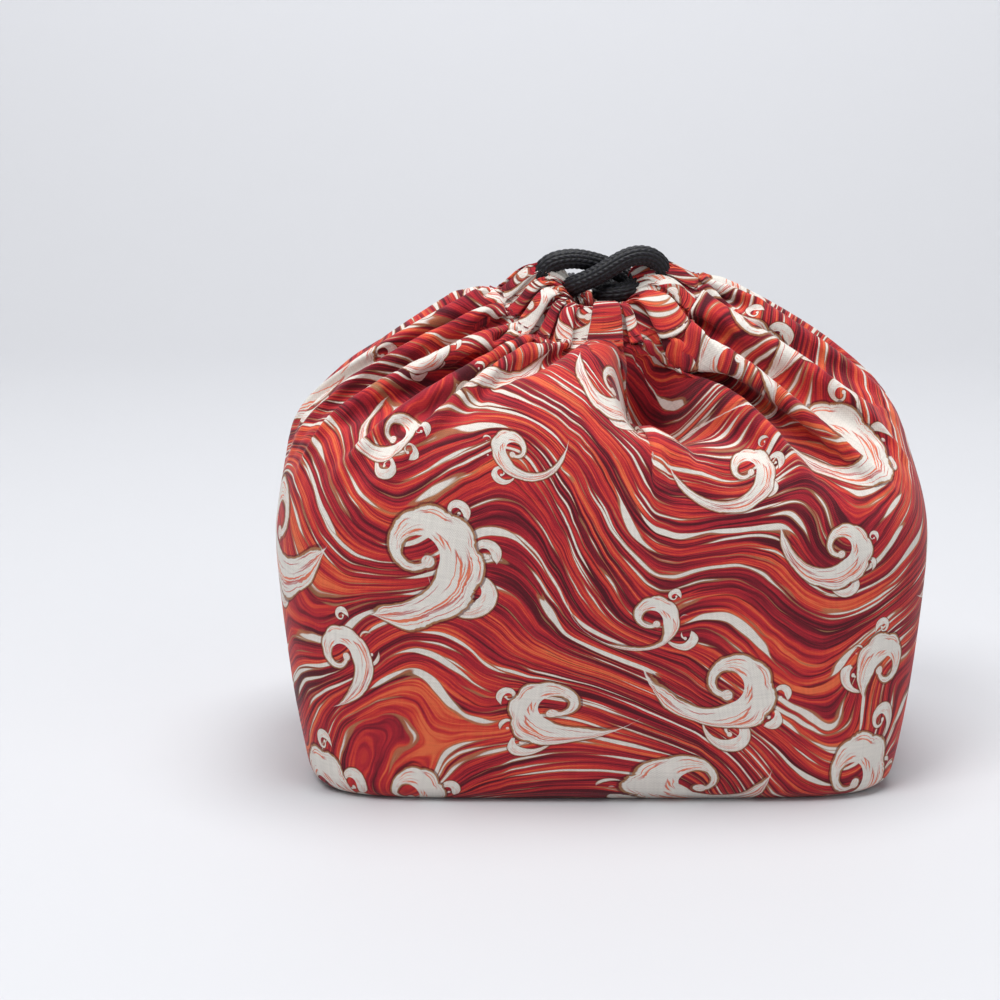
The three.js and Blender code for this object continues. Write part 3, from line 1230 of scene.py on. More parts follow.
    def _averaged(self, values: np.ndarray, width: float) -> np.ndarray:
        """Average values round the bag with the weights of a bell.

        Args:
            values: Rows by columns by three.
            width: Width of the bell in columns.

        Returns:
            The averages in the same layout.
        """
        reach = np.arange(-16, 17)
        bell = np.exp(-((reach / width) ** 2))
        return sum(w * np.roll(values, k, axis=1) for k, w in zip(reach, bell / bell.sum()))

    def _read(self, marks: np.ndarray, way: np.ndarray, knots: np.ndarray) -> np.ndarray:
        """Read each column's line at marks along it.

        Args:
            marks: Ways along each column, as rows by columns.
            way: Ways of the known points.
            knots: The known points, as rows by columns by three.

        Returns:
            Points at the marks.
        """
        out = np.zeros(marks.shape + (3,))
        for k in range(self.cols):
            for axis in range(3):
                out[:, k, axis] = np.interp(marks[:, k], way[:, k], knots[:, k, axis])
        return out

    def _ring_mesh(self, name: str, grid: np.ndarray) -> bpy.types.Object:
        """Make a tube mesh for the simulation, its columns closed to a ring.

        Args:
            name: Name of the object.
            grid: Points as rows by columns by three.

        Returns:
            The object.
        """
        quads = ring_faces(*grid.shape[:2])
        mesh = bpy.data.meshes.new(name)
        mesh.from_pydata((grid.reshape(-1, 3) * self.scale).tolist(), [], quads.tolist())
        made = bpy.data.objects.new(name, mesh)
        bpy.context.scene.collection.objects.link(made)
        return made

    def _collider(self, name: str, grid: np.ndarray, outer: float) -> bpy.types.Object:
        """Make a solid that the cloth lies on.

        Args:
            name: Name of the object.
            grid: Points as rows by columns by three.
            outer: Distance that the cloth keeps.

        Returns:
            The object.
        """
        made = self._ring_mesh(name, grid)
        made.modifiers.new("collision", "COLLISION")
        made.collision.thickness_outer = outer
        made.collision.thickness_inner = 0.3
        made.collision.cloth_friction = 4.0
        made.collision.damping = 0.5
        return made

    def _ground(self) -> bpy.types.Object:
        """Make the ground that the cloth lies on.

        Returns:
            The object.
        """
        mesh = bpy.data.meshes.new("ground")
        mesh.from_pydata([(-4, -4, 0), (4, -4, 0), (4, 4, 0), (-4, 4, 0)], [], [(0, 1, 2, 3)])
        made = bpy.data.objects.new("ground", mesh)
        bpy.context.scene.collection.objects.link(made)
        made.modifiers.new("collision", "COLLISION")
        made.collision.thickness_outer = 0.004
        made.collision.cloth_friction = 5.0
        return made

    def _set_cloth(self, bag: bpy.types.Object) -> None:
        """Give the bag its cloth settings.

        Args:
            bag: The object to simulate.
        """
        cloth = bag.modifiers.new("cloth", "CLOTH")
        made = cloth.settings
        settings = {
            "quality": 8,
            "mass": 0.3,
            "tension_stiffness": 15,
            "compression_stiffness": 15,
            "shear_stiffness": 5,
            "bending_stiffness": self.bending,
            "use_pressure": True,
            "uniform_pressure_force": self.pressure,
            "tension_damping": 5,
            "bending_damping": 0.5,
            "air_damping": 2,
            "vertex_group_mass": "held",
            "pin_stiffness": 1,
        }
        for key, value in settings.items():
            setattr(made, key, value)
        cloth.collision_settings.use_collision = True
        cloth.collision_settings.distance_min = 0.012
        cloth.collision_settings.collision_quality = 2
        cloth.collision_settings.use_self_collision = False
        cloth.point_cache.frame_start = 1
        cloth.point_cache.frame_end = self.frames

    def drape(self) -> "Wall":
        """Shape the cloth and refine it.

        Returns:
            The finished wall.
        """
        rest = self.tailored()
        coarse = self.simulate(rest)
        top = self.rows - 2
        wall = Wall(cloth=self, length=self.length, round=self.round)
        wall.refine(coarse, top)
        return wall


@dataclass
class Wall:
    """The drawn wall as a fine grid, with its places on the flat cloth.

    Attributes:
        cloth: The drawn cloth it comes from.
        length: Mean flat length of the wall.
        round: Flat round of the wall.
        cols: Columns round the whole bag.
        rows: Rows from the foot to the neck.
        floor: Lowest height of the cloth's outer face.
        hollow: Where the cloth is pressed in under the mouth.
        hollow_depth: How far it is pressed in.
        pleat: Where the pleat beside the hollow puffs up.
        pleat_height: How far it puffs up.
        ridge: The ridge to the right shoulder.
        ridge_height: Height of that ridge.
        press: Shares of the push that go to the back and up.
        lift: Shares of the puff that go to the back and up.
        grid: The wall's points.
    """

    cloth: DrawnCloth
    length: float
    round: float
    cols: int = 460
    rows: int = 150
    floor: float = 0.15
    hollow: Bell = Bell(18, -42, 16, 13)
    hollow_depth: float = 33.0
    pleat: Bell = Bell(-3, -38, 9, 15)
    pleat_height: float = 7.0
    ridge: Ridge = Ridge(28, -26, 0.81, 0.59, 8, 12, 16, 70, 40)
    ridge_height: float = 5.0
    press: tuple[float, float] = (0.75, -0.66)
    lift: tuple[float, float] = (-0.5, 0.8)
    grid: np.ndarray = field(default_factory=lambda: np.zeros(0))

    def refine(self, coarse: np.ndarray, top: int) -> None:
        """Read the coarse cloth as a fine smooth grid that ends on the neck line.

        Args:
            coarse: Simulated points.
            top: Row of the neck line.
        """
        finer = spline(coarse, np.linspace(0, top, self.rows), False)
        across = np.arange(self.cols) * coarse.shape[1] / self.cols
        grid = np.swapaxes(spline(np.swapaxes(finer, 0, 1), across, True), 0, 1)
        neck = self.cloth.neck(np.arange(self.cols) / self.cols)
        fade = np.clip((np.arange(self.rows) - self.rows + 11) / 10, 0, 1) ** 2
        grid = grid + fade[:, None, None] * (neck - grid[-1])[None]
        grid = grid + self._hollow(grid)
        grid[..., 2] = np.maximum(grid[..., 2], self.floor)
        self.grid = grid

    def _hollow(self, grid: np.ndarray) -> np.ndarray:
        """Press the slack cloth in under the mouth and puff up the pleat beside it.

        The push is a bell in x and y round a place on the front shoulder, cut off steeply at the
        pleat on its left; the puff is a narrower bell on that pleat, and a ridge that runs out to the
        right shoulder beside the hollow.

        Args:
            grid: The drawn wall.

        Returns:
            Moves of the points in millimetres.
        """
        x, y, z = grid[..., 0], grid[..., 1], grid[..., 2]
        high = np.clip((z - 116) / 16, 0, 1) * np.clip((-y - 18) / 12, 0, 1)
        edge = eased((x - 2) / 9)
        push = self.hollow_depth * high * edge * self.hollow.at(x, y)
        puff = self.pleat_height * high * self.pleat.at(x, y)
        along, across = self.ridge.at(x, y)
        puff = puff + self.ridge_height * high * along * across
        move = np.zeros_like(grid)
        move[..., 1] = self.press[0] * push + self.lift[0] * puff
        move[..., 2] = self.lift[1] * puff + self.press[1] * push
        return move

    def softened(self, width: int) -> np.ndarray:
        """Return the grid with its folds evened out over a number of columns."""
        rolled = [np.roll(self.grid, k, axis=1) for k in range(-width, width + 1)]
        return np.mean(rolled, axis=0)

    def span(self, which: Half, gap: int = 0) -> np.ndarray:
        """Return a half's column numbers, counted on past the last, less a gap at either end."""
        middle = self.cols // 2
        start = 0 if which is Half.FRONT else middle
        return np.arange(start + gap, start + middle - gap + 1)

    def half(self, which: Half) -> np.ndarray:
        """Return the numbers of a half's columns, its two seams included."""
        return np.mod(self.span(which), self.cols)

    def flat(self, which: Half, rows: int) -> np.ndarray:
        """Return the places on the flat cloth of a half's points.

        Args:
            which: The half.
            rows: Number of rows.

        Returns:
            Millimetres along and up the cloth, and zero.
        """
        along = self.span(which) / self.cols * self.round
        up = np.linspace(0, self.length, rows)
        out = np.zeros((rows, len(along), 3))
        out[:, :, 0] = along[None]
        out[:, :, 1] = up[:, None]
        return out


@dataclass
class Print:
    """The printed design: streams that wind round foam curls.

    Attributes:
        seed: Seed of the layout.
        pitch_u: Distance between large curls along the cloth.
        pitch_v: Distance between rows of large curls.
        radius: Mean radius of a large curl.
    """

    seed: int = 4
    pitch_u: float = 70.0
    pitch_v: float = 44.0
    radius: float = 10.0

    def waves(self) -> np.ndarray:
        """Lay the large curls out in staggered, uneven rows.

        Returns:
            Place along, place up, radius, turn and hand of each curl.
        """
        random = np.random.default_rng(self.seed)
        columns, rows = np.meshgrid(np.arange(-1, 11), np.arange(-1, 7))
        spread = random.uniform(-1, 1, (5,) + columns.shape)
        u = (columns + 0.5 * np.mod(rows, 2)) * self.pitch_u + spread[0] * 15 - 27
        v = rows * self.pitch_v + 16.0 + spread[1] * 10
        radius = self.radius * (1.0 + 0.42 * spread[2])
        slope = self.stream(u + 0.5, v) - self.stream(u - 0.5, v)
        rise = self.stream(u, v + 0.5) - self.stream(u, v - 0.5)
        turn = np.arctan2(-slope, rise) + 0.45 * spread[3]
        hand = np.where(spread[4] > -0.4, 1.0, -1.0)
        return np.stack([u, v, radius, turn, hand], axis=-1).reshape(-1, 5)

    def hooks(self) -> np.ndarray:
        """Set small curls round the backs of the large ones.

        Returns:
            Place along, place up, radius, turn and hand of each curl.
        """
        random = np.random.default_rng(self.seed + 1)
        waves = np.repeat(self.waves(), 3, axis=0)
        spread = random.uniform(-1, 1, (4, len(waves)))
        step = np.tile(np.array([-0.75, -0.1, 0.6]), len(waves) // 3)
        way = step + 0.22 * spread[0]
        far = waves[:, 2] * (1.66 + 0.14 * spread[1])
        turn = waves[:, 3]
        x, y = far * np.cos(way), far * np.sin(way)
        u = waves[:, 0] + waves[:, 4] * (x * np.cos(turn) - y * np.sin(turn))
        v = waves[:, 1] + x * np.sin(turn) + y * np.cos(turn)
        radius = waves[:, 2] * (0.36 - 0.12 * step + 0.07 * spread[2])
        return np.stack([u, v, radius, turn + step + 0.4 * spread[3], waves[:, 4]], axis=-1)

    def stream(self, u: np.ndarray, v: np.ndarray) -> np.ndarray:
        """Return the stream value: the height plus long waves along the cloth.

        Args:
            u: Place along the cloth.
            v: Place up the cloth.

        Returns:
            The stream value in millimetres.
        """
        stream = v + 0.24 * u + 24 * np.sin(2 * np.pi * (u / 235 + 0.12) + 0.006 * v)
        return stream + 9 * np.sin(2 * np.pi * (u / 104 - v / 170) + 1.1)

    def _nearest(self, flat: np.ndarray, curls: np.ndarray, territory: float) -> np.ndarray:
        """Measure each place in its nearest curl's own measure.

        Args:
            flat: Places on the flat cloth.
            curls: The curls.
            territory: Radius that each curl may fill, as a share of its own.

        Returns:
            Two shares of the curl's radius, and the millimetres left to the next curl or to the
            edge of the territory.
        """
        points = flat.reshape(-1, 3)[:, :2]
        gap = np.linalg.norm(points[:, None] - curls[None, :, :2], axis=-1) / curls[None, :, 2]
        order = np.argpartition(gap, 1, axis=1)[:, :2]
        both = np.take_along_axis(gap, order, axis=1)
        pick = order[np.arange(len(points)), np.argmin(both, axis=1)]
        first, second = both.min(axis=1), both.max(axis=1)
        mine = curls[pick]
        dx, dy = (points - mine[:, :2]).T / mine[:, 2]
        dx = dx * mine[:, 4]
        cos, sin = np.cos(mine[:, 3]), np.sin(mine[:, 3])
        room = np.minimum((second - first) * 0.5, territory - first) * mine[:, 2]
        out = np.stack([dx * cos + dy * sin, dy * cos - dx * sin, room], axis=-1)
        return out.reshape(flat.shape)

    def fields(self, flat: np.ndarray) -> dict[str, np.ndarray]:
        """Work out the design's values at places on the flat cloth.

        The stream value bulges round each large curl with a bell of the distance.

        Args:
            flat: Places on the flat cloth, in any layout, three to a point.

        Returns:
            Arrays of the stream value, the places in the curls' own measures and the places.
        """
        u, v = flat[..., 0], flat[..., 1]
        stream = self.stream(u, v)
        waves = self.waves()
        for wu, wv, radius, _, hand in waves:
            near = ((u - wu) ** 2 + (v - wv) ** 2) / (2.1 * radius) ** 2
            stream = stream + hand * 1.7 * radius * np.exp(-near)
        return {
            "stream": stream,
            "wave": self._nearest(flat, waves, 5.0),
            "hook": self._nearest(flat, self.hooks(), 3.2),
            "flat": flat,
        }


@dataclass
class Panel:
    """One half of the outer cloth: half the wall and half the base in one piece.

    Attributes:
        which: Front or back.
        thickness: Thickness of the cloth.
        base_rows: Rows of the base.
        seam: Distance of the base's edge from the middle.
        under: Length of the half base that is added to the wall's flat length; not used.
    """

    which: Half
    thickness: float = 0.8
    base_rows: int = 14
    seam: float = 0.2
    under: float = 57.0

    def build(self, wall: Wall, design: Print) -> bpy.types.Object:
        """Shape the panel.

        Args:
            wall: The drawn wall.
            design: The printed design.

        Returns:
            The panel.
        """
        part = wall.grid[:, wall.half(self.which)]
        foot = part[0]
        base, t = base_rows(foot, self.base_rows, self.which.sign * self.seam)
        base[:, :, 2] = foot[None, :, 2] * t**3 + 0.25 * (1 - t**3)
        outer = np.concatenate([base, part])
        flat = wall.flat(self.which, len(part))
        under = flat[:1].repeat(self.base_rows, axis=0).copy()
        under[:, :, 1] = -np.abs(foot[None, :, 1]) * (1 - t)
        flat = np.concatenate([under, flat])
        name = f"{self.which.value}_panel_cloth"
        self.piece = closed_sheet(name, outer, self.thickness, design.fields(flat))
        return self.piece

    def dress(self, finish: bpy.types.Material, wall: Wall) -> None:
        """Give the panel its cloth and hang it on the bag's body.

        Args:
            finish: Material of the cloth.
            wall: The drawn wall.
        """
        self.piece.data.materials.append(finish)
        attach(self.piece, "bag")
        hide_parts(f"{self.which.value}_panel")
        width = wall.round / 2 * MM


@dataclass
class Lining:
    """One half of the lining, which hangs inside the outer cloth's folds.

    Attributes:
        which: Front or back.
        gap: Distance inside the deepest fold nearby.
        thickness: Thickness of the lining.
        reach: Columns and rows within which a fold counts as nearby.
        evened: Columns over which the folds are evened out, at the foot and at the mouth.
        base_rows: Rows of the base.
        seam: Distance of the base's edge from the middle.
        floor: Height of the base's outer face.
        under: Length of the half base that is added to the wall's flat length.
        cut: Share of the flat size that is left after cutting.
    """

    which: Half
    gap: float = 2.6
    thickness: float = 0.6
    reach: tuple[int, int] = (14, 8)
    evened: tuple[int, int] = (9, 18)
    base_rows: int = 8
    seam: float = 0.3
    floor: float = 2.4
    under: float = 55.0
    cut: float = 0.9

    def build(self, wall: Wall) -> bpy.types.Object:
        """Shape the lining from the wall with its folds evened out.

        Each point moves in along the even surface's normal by the depth of the deepest fold
        nearby and the gap. Every third row and every second column is used.

        Args:
            wall: The drawn wall.

        Returns:
            The lining.
        """
        up = np.linspace(0, 1, wall.rows)[:, None, None]
        share = np.clip((up - 0.35) / 0.2, 0, 1)
        low, high = [wall.softened(columns) for columns in self.evened]
        smooth = low * (1 - share) + high * share
        normal = grid_normals(smooth)
        depth = np.maximum(((smooth - wall.grid) * normal).sum(axis=-1), 0)
        cols, rows = self.reach
        inset = around(around(depth, cols, rows, np.max), cols // 2, rows // 2, np.mean) + self.gap
        part = (smooth - normal * inset[..., None])[:, wall.half(self.which)][::3, ::2]
        part[:, :, 2] = np.maximum(part[:, :, 2], self.floor)
        base, _ = base_rows(part[0], self.base_rows, self.which.sign * self.seam)
        base[:, :, 2] = self.floor
        flat = wall.flat(self.which, wall.rows)[::3, ::2]
        flat = np.concatenate([flat[:1].repeat(self.base_rows, axis=0), flat])
        outer = np.concatenate([base, part])
        name = f"{self.which.value}_lining_cloth"
        self.piece = closed_sheet(name, outer, self.thickness, {"flat": flat})
        return self.piece

    def dress(self, finish: bpy.types.Material, wall: Wall) -> None:
        """Give the lining its cloth and hang it on the bag's body.

        Args:
            finish: Material of the lining.
            wall: The drawn wall.
        """
        self.piece.data.materials.append(finish)
        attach(self.piece, "bag")
        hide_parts(f"{self.which.value}_lining")
        width = wall.round / 2 * MM
        length = (wall.length + self.under) * MM
        area = self.cut * width * length


@dataclass
class Casing:
    """One half of the gathered channel round the mouth, which the cord runs through.

    Attributes:
        which: Front or back.
        gap: Columns left open at each side for the cords.
        thickness: Thickness of the cloth.
        rows: Rows of points from the neck over the rim to the inside.
        tall: Flat height of the band.
        profile: Distance outside the ring, pleat depth, height and crest lift of each line from
            the neck up the outside, over the rim and down the inside.
    """

    which: Half
    gap: int = 5
    thickness: float = 0.8
    rows: int = 44
    tall: float = 40.0
    profile: np.ndarray = field(
        default_factory=lambda: np.array(
            [
                [11.0, 8.0, -4.3, 0.0],
                [8.6, 8.4, -1.2, 0.0],
                [6.4, 8.8, 2.0, 0.2],
                [4.6, 8.8, 5.0, 0.8],
                [3.0, 8.0, 7.2, 1.6],
                [1.3, 6.6, 8.2, 2.0],
                [-0.4, 4.6, 7.8, 1.8],
                [-2.4, 1.6, 5.4, 1.2],
                [-3.6, -1.4, 1.4, 0.4],
                [-3.9, -2.4, -3.0, 0.0],
                [-3.5, -2.2, -8.0, 0.0],
            ]
        )
    )

    def surface(self, wall: Wall) -> np.ndarray:
        """Make the pleated channel's outer face.

        Every line of the profile follows the ring at its own distance and pleat depth, and a
        spline through the lines rounds the rim.

        Args:
            wall: The drawn wall.

        Returns:
            Points as rows by columns by three.
        """
        columns = wall.span(self.which, self.gap)
        share = np.linspace(columns[0], columns[-1], 2 * len(columns) - 1) / wall.cols
        lines = np.stack([wall.cloth.gathers.place(share, *line) for line in self.profile])
        self.share = share
        return spline(lines, np.linspace(0, len(lines) - 1, self.rows), False)

    def build(self, wall: Wall, design: Print) -> bpy.types.Object:
        """Shape the casing.

        Args:
            wall: The drawn wall.
            design: The printed design.

        Returns:
            The casing.
        """
        self.outer = self.surface(wall)
        flat = np.zeros(self.outer.shape)
        flat[:, :, 0] = self.share[None] * wall.round
        flat[:, :, 1] = wall.length + np.linspace(0, self.tall, self.rows)[:, None]
        name = f"{self.which.value}_casing_cloth"
        self.piece = closed_sheet(name, self.outer, self.thickness, design.fields(flat))
        return self.piece

    def dress(self, finish: bpy.types.Material) -> None:
        """Give the casing its cloth and hang it on the bag's body.

        Args:
            finish: Material of the cloth.
        """
        self.piece.data.materials.append(finish)
        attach(self.piece, "bag")
        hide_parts(f"{self.which.value}_casing")


@dataclass
class Braid:
    """A round braided cord laid along a line.

    Attributes:
        diameter: Diameter of the cord.
        columns: Columns of stitches round the cord.
        pitch: Length of one stitch along the cord.
        relief: Depth between stitches.
        step: Distance between rings of points.
        around: Points in a ring.
    """

    diameter: float = 7.7
    columns: int = 14
    pitch: float = 2.1
    relief: float = 0.6
    step: float = 0.4
    around: int = 84

    def frames(self, path: np.ndarray) -> tuple[np.ndarray, np.ndarray]:
        """Carry two directions across the line along it without twist.

        Args:
            path: Points of the line.

        Returns:
            The two directions at each point.
        """
        tangent = np.gradient(path, axis=0)
        tangent /= np.linalg.norm(tangent, axis=1, keepdims=True)
        first = np.cross(tangent[0], [0.31, 0.83, 0.46])
        kept = [first / np.linalg.norm(first)]
        for direction in tangent[1:]:
            turned = kept[-1] - direction * (kept[-1] @ direction)
            kept.append(turned / np.linalg.norm(turned))
        one = np.array(kept)
        return one, np.cross(tangent, one)

    def build(self, name: str, path: np.ndarray) -> bpy.types.Object:
        """Shape the braided tube.

        Stitches lie in columns round the cord and slant one way in even columns and the other way
        in odd ones. With f the way across a column and g the way along a stitch, both from 0 to
        1, the height is the root of sin(pi f) sin(pi g).

        Args:
            name: Name of the piece.
            path: Points at even steps in millimetres.

        Returns:
            The cord.
        """
        one, two = self.frames(path)
        turn = np.arange(self.around) / self.around
        way = arc_lengths(path)[:, None]
        column = self.columns * turn[None] + 0 * way
        across = np.mod(column, 1.0)
        slant = np.where(np.mod(np.floor(column), 2) < 1, 1.0, -1.0)
        along = np.mod(way / self.pitch + slant * 0.9 * (across - 0.5), 1.0)
        high = np.sqrt(np.abs(np.sin(np.pi * across) * np.sin(np.pi * along)))
        radius = self.diameter / 2 - self.relief * (1 - high)
        angle = 2 * np.pi * turn
        out = np.cos(angle)[None, :, None] * one[:, None] + np.sin(angle)[None, :, None] * two[:, None]
        rings = path[:, None] + out * radius[..., None]
        count = len(path)
        index = np.arange(count * self.around).reshape(count, self.around)
        after = np.roll(index, -1, axis=1)
        quads = ring_faces(count, self.around)
        first, last = count * self.around, count * self.around + 1
        start = np.stack([np.full(self.around, first), after[0], index[0]], axis=1)
        end = np.stack([np.full(self.around, last), index[-1], after[-1]], axis=1)
        faces = quads.tolist() + start.tolist() + end.tolist()
        points = np.concatenate([rings.reshape(-1, 3), path[:1], path[-1:]])
        place = np.zeros((count, self.around, 3))
        place[..., 0] = turn[None] * np.pi * self.diameter
        place[..., 1] = way
        # The relief also places the painted shade between strands in the cord's yarn material.
        values = {
            "relief": np.append(high.ravel(), [0.4, 0.4]),
            "flat": np.concatenate([place.reshape(-1, 3), np.zeros((2, 3))]),
        }
        mesh_faces = np.empty(len(faces), dtype=object)
        mesh_faces[:] = faces
        return make_piece(name, points, mesh_faces, values)


@dataclass
class Drawcord:
    """One drawcord's free stretch: an arch over the mouth, a tail behind the bag and a knot.

    Attributes:
        side: Side where the cord leaves the casings.
        arch: Points of the arch from the casing's gap to the back of the rim.
        floor_run: Length that lies on the floor.
        clear: Distance kept from the cloth.
        lane: Distance of the tail from the middle in X.
        beside: Distance in X within which cloth counts as under the tail.
        hub: Point inside the bag, in Y and Z, that the tail's outline is read round.
        sweep: First and last angle of that outline in degrees.
        window: Angle in degrees within which cloth counts at each mark.
        leaves: Height at which the tail bends out to the floor.
        braid: The braided cord.
        knot_braid: The thinner winding that the knot is made of.
        knot_turns: Turns of that winding.
        knot_radius: Distance of the winding from the knot's middle.
        knot_length: Length of the wound part.
        knot_end: Length of the end that sticks out.
    """

    side: Side
    arch: np.ndarray
    floor_run: float = 46.0
    clear: float = 0.7
    lane: float = 11.5
    beside: float = 9.0
    hub: tuple[float, float] = (14.0, 96.0)
    sweep: tuple[float, float] = (74.0, -44.0)
    window: float = 5.0
    leaves: float = 22.0
    braid: Braid = field(default_factory=Braid)
    knot_braid: Braid = field(
        default_factory=lambda: Braid(
            diameter=4.6, columns=10, pitch=1.9, relief=0.35, step=0.5, around=40
        )
    )
    knot_turns: float = 2.3
    knot_radius: float = 3.6
    knot_length: float = 9.5
    knot_end: float = 9.0

    def tail(self, wall: Wall, casing: Casing) -> np.ndarray:
        """Lay the tail over the back of the bag.

        Seen along X, the tail keeps to the outline of all the cloth beside it: at each angle
        round a point inside the bag it lies outside the furthest cloth by the cord's radius and
        the clearance.

        Args:
            wall: The drawn wall.
            casing: The back casing.

        Returns:
            Points from the rim down to the floor and along it.
        """
        x = -self.side.value * self.lane
        cloth = np.concatenate([wall.grid.reshape(-1, 3), casing.outer.reshape(-1, 3)])
        under = np.abs(cloth[:, 0] - x) < self.beside
        near = cloth[under & (cloth[:, 1] > 12) & (cloth[:, 2] > 2)]
        ray = near[:, 1:] - np.array(self.hub)
        angle = np.arctan2(ray[:, 1], ray[:, 0])
        reach = np.linalg.norm(ray, axis=1)
        marks = np.radians(np.linspace(*self.sweep, 48))
        window = np.abs(angle[None] - marks[:, None]) < math.radians(self.window)
        furthest = np.where(window, reach[None], 0.0).max(axis=1)
        far = np.convolve(np.pad(furthest, 3, mode="edge"), np.ones(7) / 7, mode="valid")
        far = np.maximum(far, furthest) + self.braid.diameter / 2 + self.clear
        y = self.hub[0] + far * np.cos(marks)
        z = self.hub[1] + far * np.sin(marks)
        hangs = z > self.leaves
        line = np.stack([np.full(hangs.sum(), x), y[hangs], z[hangs]], axis=1)
        line[:, 0] = np.linspace(self.arch[-1, 0], x - self.side.value * 2.5, len(line))
        floor = self.braid.diameter / 2 + 0.35
        end = line[-1]
        out = -self.side.value
        bend = [
            [end[0] + out * 1.5, end[1] + 1.0, floor + 8],
            [end[0] + out * 6.0, end[1] + 2.0, floor + 1.6],
            [end[0] + out * 13.0, end[1] + 2.4, floor],
            [end[0] + out * (self.floor_run * 0.6), end[1] + 1.2, floor],
            [end[0] + out * self.floor_run, end[1] - 0.8, floor],
        ]
        return np.concatenate([line[::3], np.array(bend)])

    def build(self, wall: Wall, casing: Casing) -> bpy.types.Object:
        """Shape the free cord.

        Args:
            wall: The drawn wall.
            casing: The back casing.

        Returns:
            The cord.
        """
        points = np.concatenate([self.arch, self.tail(wall, casing)])
        line = evenly(points, self.braid.step)
        kernel = np.ones(15) / 15
        padded = np.pad(line, ((7, 7), (0, 0)), mode="edge")
        parts = [np.convolve(padded[:, k], kernel, mode="valid") for k in range(3)]
        soft = np.stack(parts, axis=1)
        hold = np.minimum(np.arange(len(line)), np.arange(len(line))[::-1]) / 16
        share = np.clip(hold, 0, 1)[:, None]
        self.path = evenly(line * (1 - share) + soft * share, self.braid.step)
        self.piece = self.braid.build(f"{self.side.label}_drawcord", self.path)
        self.length = float(arc_lengths(self.path)[-1])
        self._knot()
        return self.piece

    def _knot(self) -> None:
        """Tie the stopper knot at the cord's end.

        The knot is a tube wound somewhat over two turns round the cord's line, closed up by a
        short end that sticks out of it.
        """
        end, before = self.path[-1], self.path[-10]
        axis = (end - before) / np.linalg.norm(end - before)
        up = np.array([0.0, 0.0, 1.0])
        across = np.cross(axis, up)
        t = np.linspace(0, 1, 90)
        turn = 2 * np.pi * self.knot_turns * t
        out = self.knot_radius * np.sin(np.pi * np.clip(t * 1.05, 0, 1)) ** 0.35
        along = 1.0 + self.knot_length * t
        coil = end + axis * along[:, None] + across * (out * np.cos(turn))[:, None]
        coil = coil + up * (out * np.sin(turn))[:, None] + up * 1.9
        tip = coil[-1] + np.outer(np.linspace(0.15, 1, 6), axis * self.knot_end - up * 1.2)
        line = evenly(np.concatenate([coil[::4], tip]), self.knot_braid.step)
        line[:, 2] = np.maximum(line[:, 2], 2.5)
        self.knot = self.knot_braid.build(f"{self.side.label}_stopper_knot", line)

    def dress(self, finish: bpy.types.Material) -> None:
        """Give the cord and its knot their yarn, and hang the knot on the bag's body.

        Args:
            finish: Material of the cord.
        """
        name = self.side.label
        for made in (self.piece, self.knot):
            made.data.materials.append(finish)
        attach(self.knot, "bag")
        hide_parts(f"{name}_end_knot")
        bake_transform(self.piece)
        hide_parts(f"{name}_cord_arch", f"{name}_cord_tail")


@dataclass
class CordRun:
    """The stretch of one cord inside its casing.

    Attributes:
        which: Casing that it lies in.
        rise: How much higher the run is at the sides.
        clear: Angle in radians left free at each end.
        braid: The braided cord.
    """

    which: Half
    rise: float = 11.0
    clear: float = 0.16
    braid: Braid = field(default_factory=lambda: Braid(step=1.0, around=24))

    def build(self, wall: Wall) -> bpy.types.Object:
        """Shape the run along the ring inside the casing.

        Args:
            wall: The drawn wall.

        Returns:
            The run.
        """
        gathers = wall.cloth.gathers
        start = 0.0 if self.which is Half.FRONT else np.pi
        angle = np.pi + start + np.linspace(self.clear, np.pi - self.clear, 60)
        peak = (1 - np.abs(np.sin(angle))) ** SIDE_POWER
        x = gathers.ring_x * np.cos(angle)
        y = gathers.ring_y * np.sin(angle)
        z = gathers.level + self.rise * peak
        self.name = "left" if self.which is Half.FRONT else "right"
        line = evenly(np.stack([x, y, z], axis=1), self.braid.step)
        self.piece = self.braid.build(f"{self.name}_cord_in_casing", line)
        return self.piece

    def dress(self, finish: bpy.types.Material) -> None:
        """Give the run its yarn.

        Args:
            finish: Material of the cord.
        """
        self.piece.data.materials.append(finish)
        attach(self.piece, "bag")
        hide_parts(f"{self.name}_cord_run")


